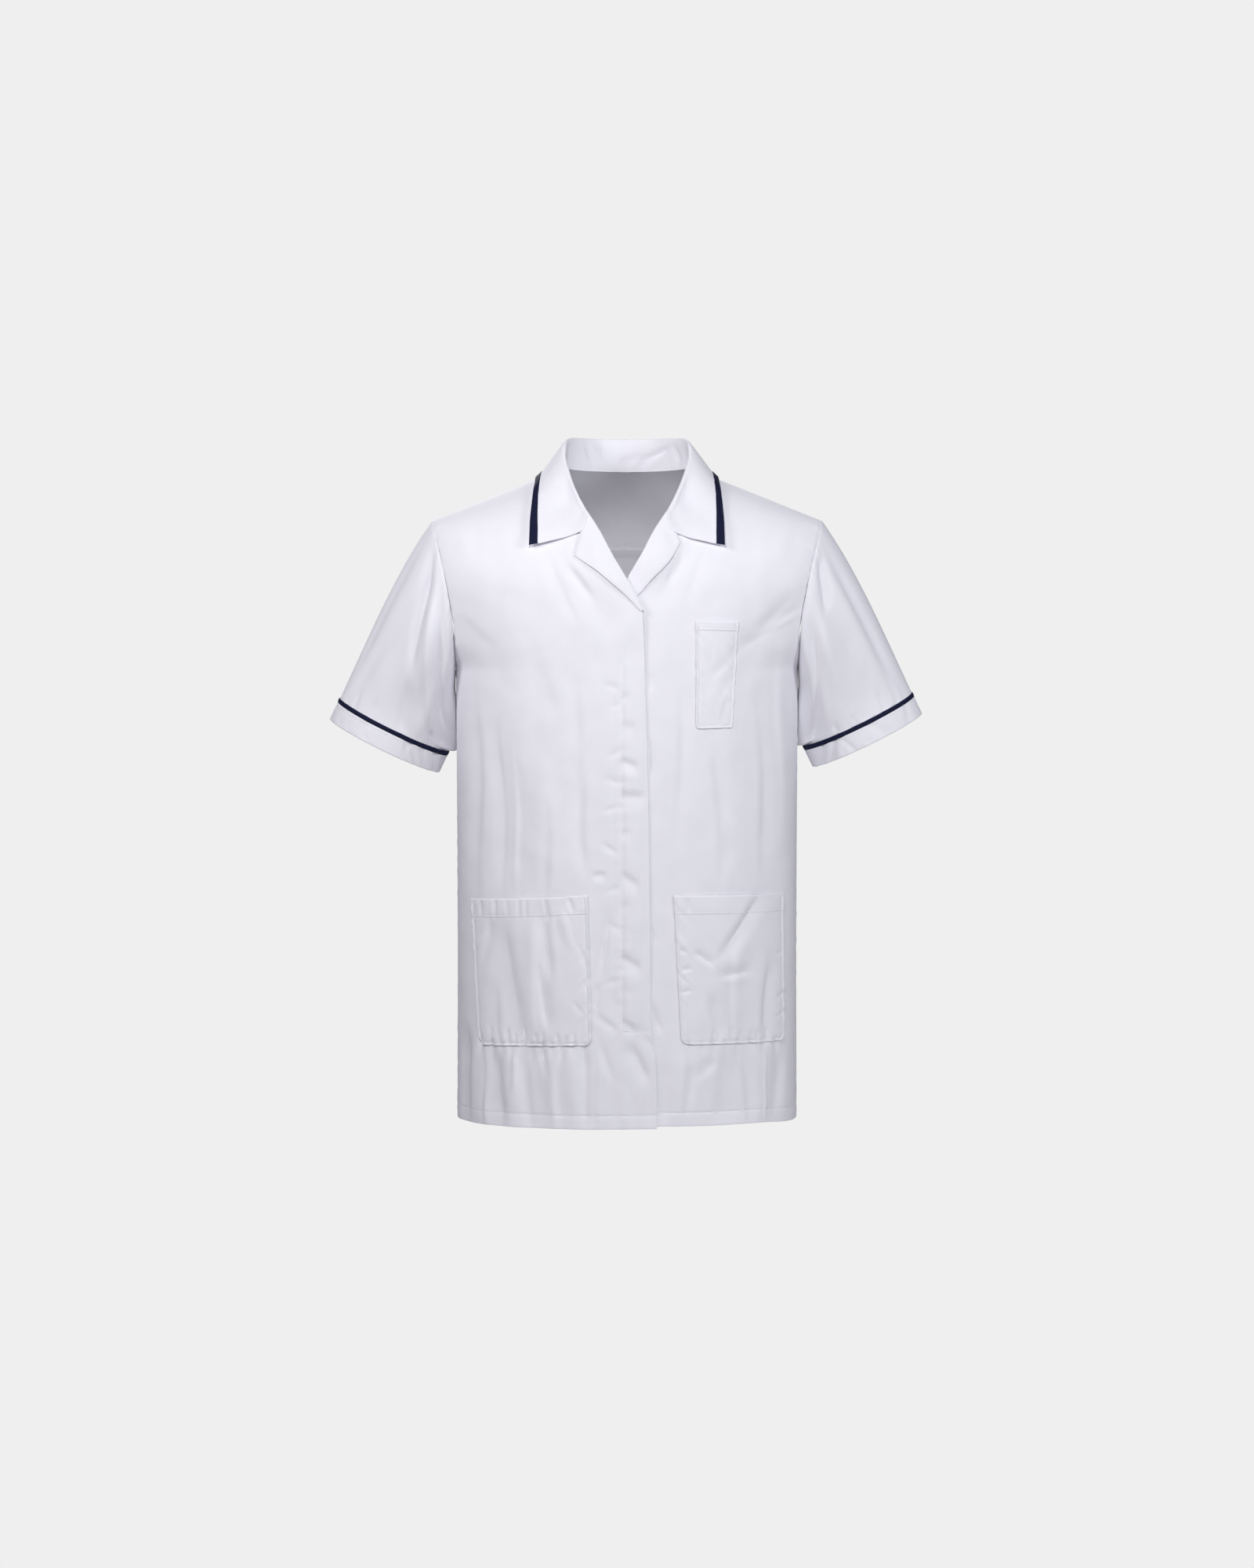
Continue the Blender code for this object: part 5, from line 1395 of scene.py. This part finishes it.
def yoke_stitches():
    """Two rows inside the back, just above the yoke seam."""
    lines = []
    edge_z, side_z = BACK_ROWS[YOKE_ROW][1:]
    x = np.linspace(-YOKE_STITCH_END_X, YOKE_STITCH_END_X, 260)
    for above in YOKE_STITCH_ABOVE:
        z = edge_z + above + (side_z - edge_z) * (np.abs(x) / YOKE_END_X)
        outer = np.stack([x, body_depth(BACK, np.abs(x), z), z], -1)
        outward = normal_of(bare_point, LEFT, BACK, np.abs(x), z)
        outward[:, 0] *= np.sign(x)
        lines.append((outer - outward * (CLOTH + 0.3), -outward))
    return lines


def body_stitches(halves):
    """Hem, placket and bar."""
    lines = []
    for side, half in halves.items():
        for face in (FRONT, BACK):
            hem_row = len(panel_rows(side, face)) - 2
            row = int(np.argmin(np.abs(half["rows"][face] - hem_row)))
            x, z = (place[row, 2:-3] for place in half["places"][face])
            lines.append(on_cloth(side, face, x, z, -GROOVE_DEPTH))
    z = np.linspace(PLACKET_STITCH[0][1], PLACKET_BAR_Z, 160)
    lines.append(on_cloth(RIGHT, FRONT, placket_line(z), z, -GROOVE_DEPTH))
    x = np.linspace(float(placket_line(PLACKET_BAR_Z)), PLACKET_BAR_END_X, 16)
    lines.append(on_cloth(RIGHT, FRONT, x, PLACKET_BAR_Z + 0.0 * x, -GROOVE_DEPTH))
    return lines


def set_inputs(made, **values):
    """Values of a node's inputs; _ in a name stands for a space."""
    for name, value in values.items():
        made.inputs[name.replace("_", " ")].default_value = value


def node(material, kind, **values):
    made = material.node_tree.nodes.new(kind)
    set_inputs(made, **values)
    return made


def new_material(name, **values):
    material = bpy.data.materials.new(name)
    material.use_nodes = True
    shader = material.node_tree.nodes["Principled BSDF"]
    set_inputs(shader, **values)
    return material, material.node_tree.links, shader


def mottled(material, noise, first, second):
    """Base colour that wanders between two tones with a noise."""
    links = material.node_tree.links
    tone = node(material, "ShaderNodeMix")
    tone.data_type = "RGBA"
    tone.inputs["A"].default_value = first
    tone.inputs["B"].default_value = second
    links.new(noise.outputs["Fac"], tone.inputs["Factor"])
    links.new(tone.outputs["Result"], material.node_tree.nodes["Principled BSDF"].inputs["Base Color"])


def woven(name, colour, shade, roughness, sheen, specular):
    """Plain-weave poly-cotton: thread relief, slight unevenness of tone, a soft sheen."""
    material, links, shader = new_material(
        name, Roughness=roughness, Sheen_Weight=sheen, Sheen_Roughness=0.45, Specular_IOR_Level=specular,
    )
    place = node(material, "ShaderNodeUVMap")
    place.uv_map = "cloth"
    spot = node(material, "ShaderNodeTexNoise", Scale=34.0, Detail=3.0, Roughness=0.55)
    links.new(place.outputs["UV"], spot.inputs["Vector"])
    mottled(material, spot, shade, colour)
    weave = node(material, "ShaderNodeMath")
    weave.operation = "MULTIPLY"
    for number, direction in enumerate("XY"):
        wave = node(material, "ShaderNodeTexWave", Scale=THREADS_PER_METRE, Distortion=0.6, Detail=1.0)
        wave.bands_direction = direction
        links.new(place.outputs["UV"], wave.inputs["Vector"])
        links.new(wave.outputs["Fac"], weave.inputs[number])
    relief = node(material, "ShaderNodeBump", Strength=0.25, Distance=0.00006)
    links.new(weave.outputs["Value"], relief.inputs["Height"])
    soft = node(material, "ShaderNodeTexNoise", Scale=260.0, Detail=2.0, Roughness=0.5)
    links.new(place.outputs["UV"], soft.inputs["Vector"])
    uneven = node(material, "ShaderNodeBump", Strength=0.22, Distance=0.0005)
    links.new(soft.outputs["Fac"], uneven.inputs["Height"])
    links.new(relief.outputs["Normal"], uneven.inputs["Normal"])
    links.new(uneven.outputs["Normal"], shader.inputs["Normal"])
    return material


def make_camera():
    camera = bpy.data.objects.new("camera", bpy.data.cameras.new("camera"))
    place = Vector(CAMERA_PLACE)
    aim = Vector(CAMERA_AIM) - place
    camera.location = place
    camera.rotation_euler = aim.to_track_quat("-Z", "Y").to_euler()
    camera.data.sensor_fit = "VERTICAL"
    camera.data.sensor_height = SENSOR
    camera.data.lens = SENSOR * aim.length / FRAME_HEIGHT_AT_AIM
    bpy.context.scene.collection.objects.link(camera)
    bpy.context.scene.camera = camera


def area_light(name, place, aim, size, power, colour):
    light = bpy.data.objects.new(name, bpy.data.lights.new(name, "AREA"))
    light.data.shape = "RECTANGLE"
    light.data.size, light.data.size_y = size
    light.data.energy = power
    light.data.color = colour
    light.location = place
    light.rotation_euler = (Vector(aim) - Vector(place)).to_track_quat("-Z", "Y").to_euler()
    bpy.context.scene.collection.objects.link(light)


def make_studio():
    """Even pale backdrop and floor, a key light in front, fills beside and below, one light behind."""
    world = bpy.data.worlds.new("studio")
    world.use_nodes = True
    bpy.context.scene.world = world
    nodes = world.node_tree.nodes
    links = world.node_tree.links
    seen = node(world, "ShaderNodeLightPath")
    backdrop = nodes["Background"]
    backdrop.inputs["Color"].default_value = BACKDROP
    surround = node(world, "ShaderNodeBackground", Color=SURROUND, Strength=SURROUND_STRENGTH)
    mix = node(world, "ShaderNodeMixShader")
    links.new(seen.outputs["Is Camera Ray"], mix.inputs["Fac"])
    links.new(surround.outputs["Background"], mix.inputs[1])
    links.new(backdrop.outputs["Background"], mix.inputs[2])
    links.new(mix.outputs["Shader"], nodes["World Output"].inputs["Surface"])
    for name, light in LIGHTS.items():
        area_light(name, *light)
    bpy.ops.mesh.primitive_circle_add(
        vertices=96, radius=FLOOR_RADIUS, fill_type="NGON", location=FLOOR_PLACE,
    )
    floor = bpy.context.object
    floor.name = "floor"
    pale, _, shader = new_material("floor_pale", Roughness=0.9, Specular_IOR_Level=0.1)
    set_inputs(shader, Emission_Color=BACKDROP, Emission_Strength=FLOOR_GLOW)
    mottled(pale, node(pale, "ShaderNodeTexNoise", Scale=6.0, Detail=2.0), BACKDROP, FLOOR_SHADE)
    floor.data.materials.append(pale)


def declare(piece, row_node):
    """A cloth piece hangs from the root, and the solid it stands for is hidden."""
    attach(piece, "root")
    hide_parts(row_node)


def dress():
    """All pieces of the tunic."""
    white, navy, thread = (woven(name, *look) for name, look in CLOTHS.items())
    halves = {side: half_panels(side) for side in SIDES}
    tree = surface_tree([half["grids"][face] for half in halves.values() for face in (FRONT, BACK)])
    made = {}
    lines = body_stitches(halves) + yoke_stitches()
    for side, name in SIDES.items():
        made["front_" + name] = make_front(side, halves[side], white)
        made["sleeve_" + name], turn = make_sleeve(side, halves[side], tree, white)
        made["piping_" + name] = make_piping(side, turn, navy)
        made["cuff_" + name], cuff_line = make_cuff(side, turn, white)
        lines.append(cuff_line)
        made["lapel_" + name] = make_lapel(side, white)
    made["back_yoke"], made["back_panel"] = make_back(halves, white)
    made["collar"], collar, collar_normals = make_collar(tree, white)
    made["collar_tape"] = make_tape(collar, collar_normals, navy)
    foot = from_edges(collar)["first"][0]
    column_at = int(np.argmin(np.abs(foot[len(foot) // 2] - COLLAR_STITCH_ABOVE)))
    lines.append((collar[:, column_at], collar_normals[:, column_at]))
    for name, sizes in POCKETS.items():
        made[name], pocket_lines = make_pocket(name, white, **sizes)
        lines.extend(pocket_lines)
    for name, piece in made.items():
        declare(piece, name)
    stitches = make_stitches("stitches", lines, thread)
    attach(stitches, "root")


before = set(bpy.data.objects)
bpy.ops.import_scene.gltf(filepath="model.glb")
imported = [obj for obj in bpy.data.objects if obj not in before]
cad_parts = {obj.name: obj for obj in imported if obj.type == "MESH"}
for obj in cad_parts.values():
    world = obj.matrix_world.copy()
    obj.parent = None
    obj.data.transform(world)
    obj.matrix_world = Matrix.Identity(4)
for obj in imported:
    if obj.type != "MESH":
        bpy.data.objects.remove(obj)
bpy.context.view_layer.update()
make_camera()
make_studio()
dress()
bpy.context.scene.view_settings.view_transform = "Standard"
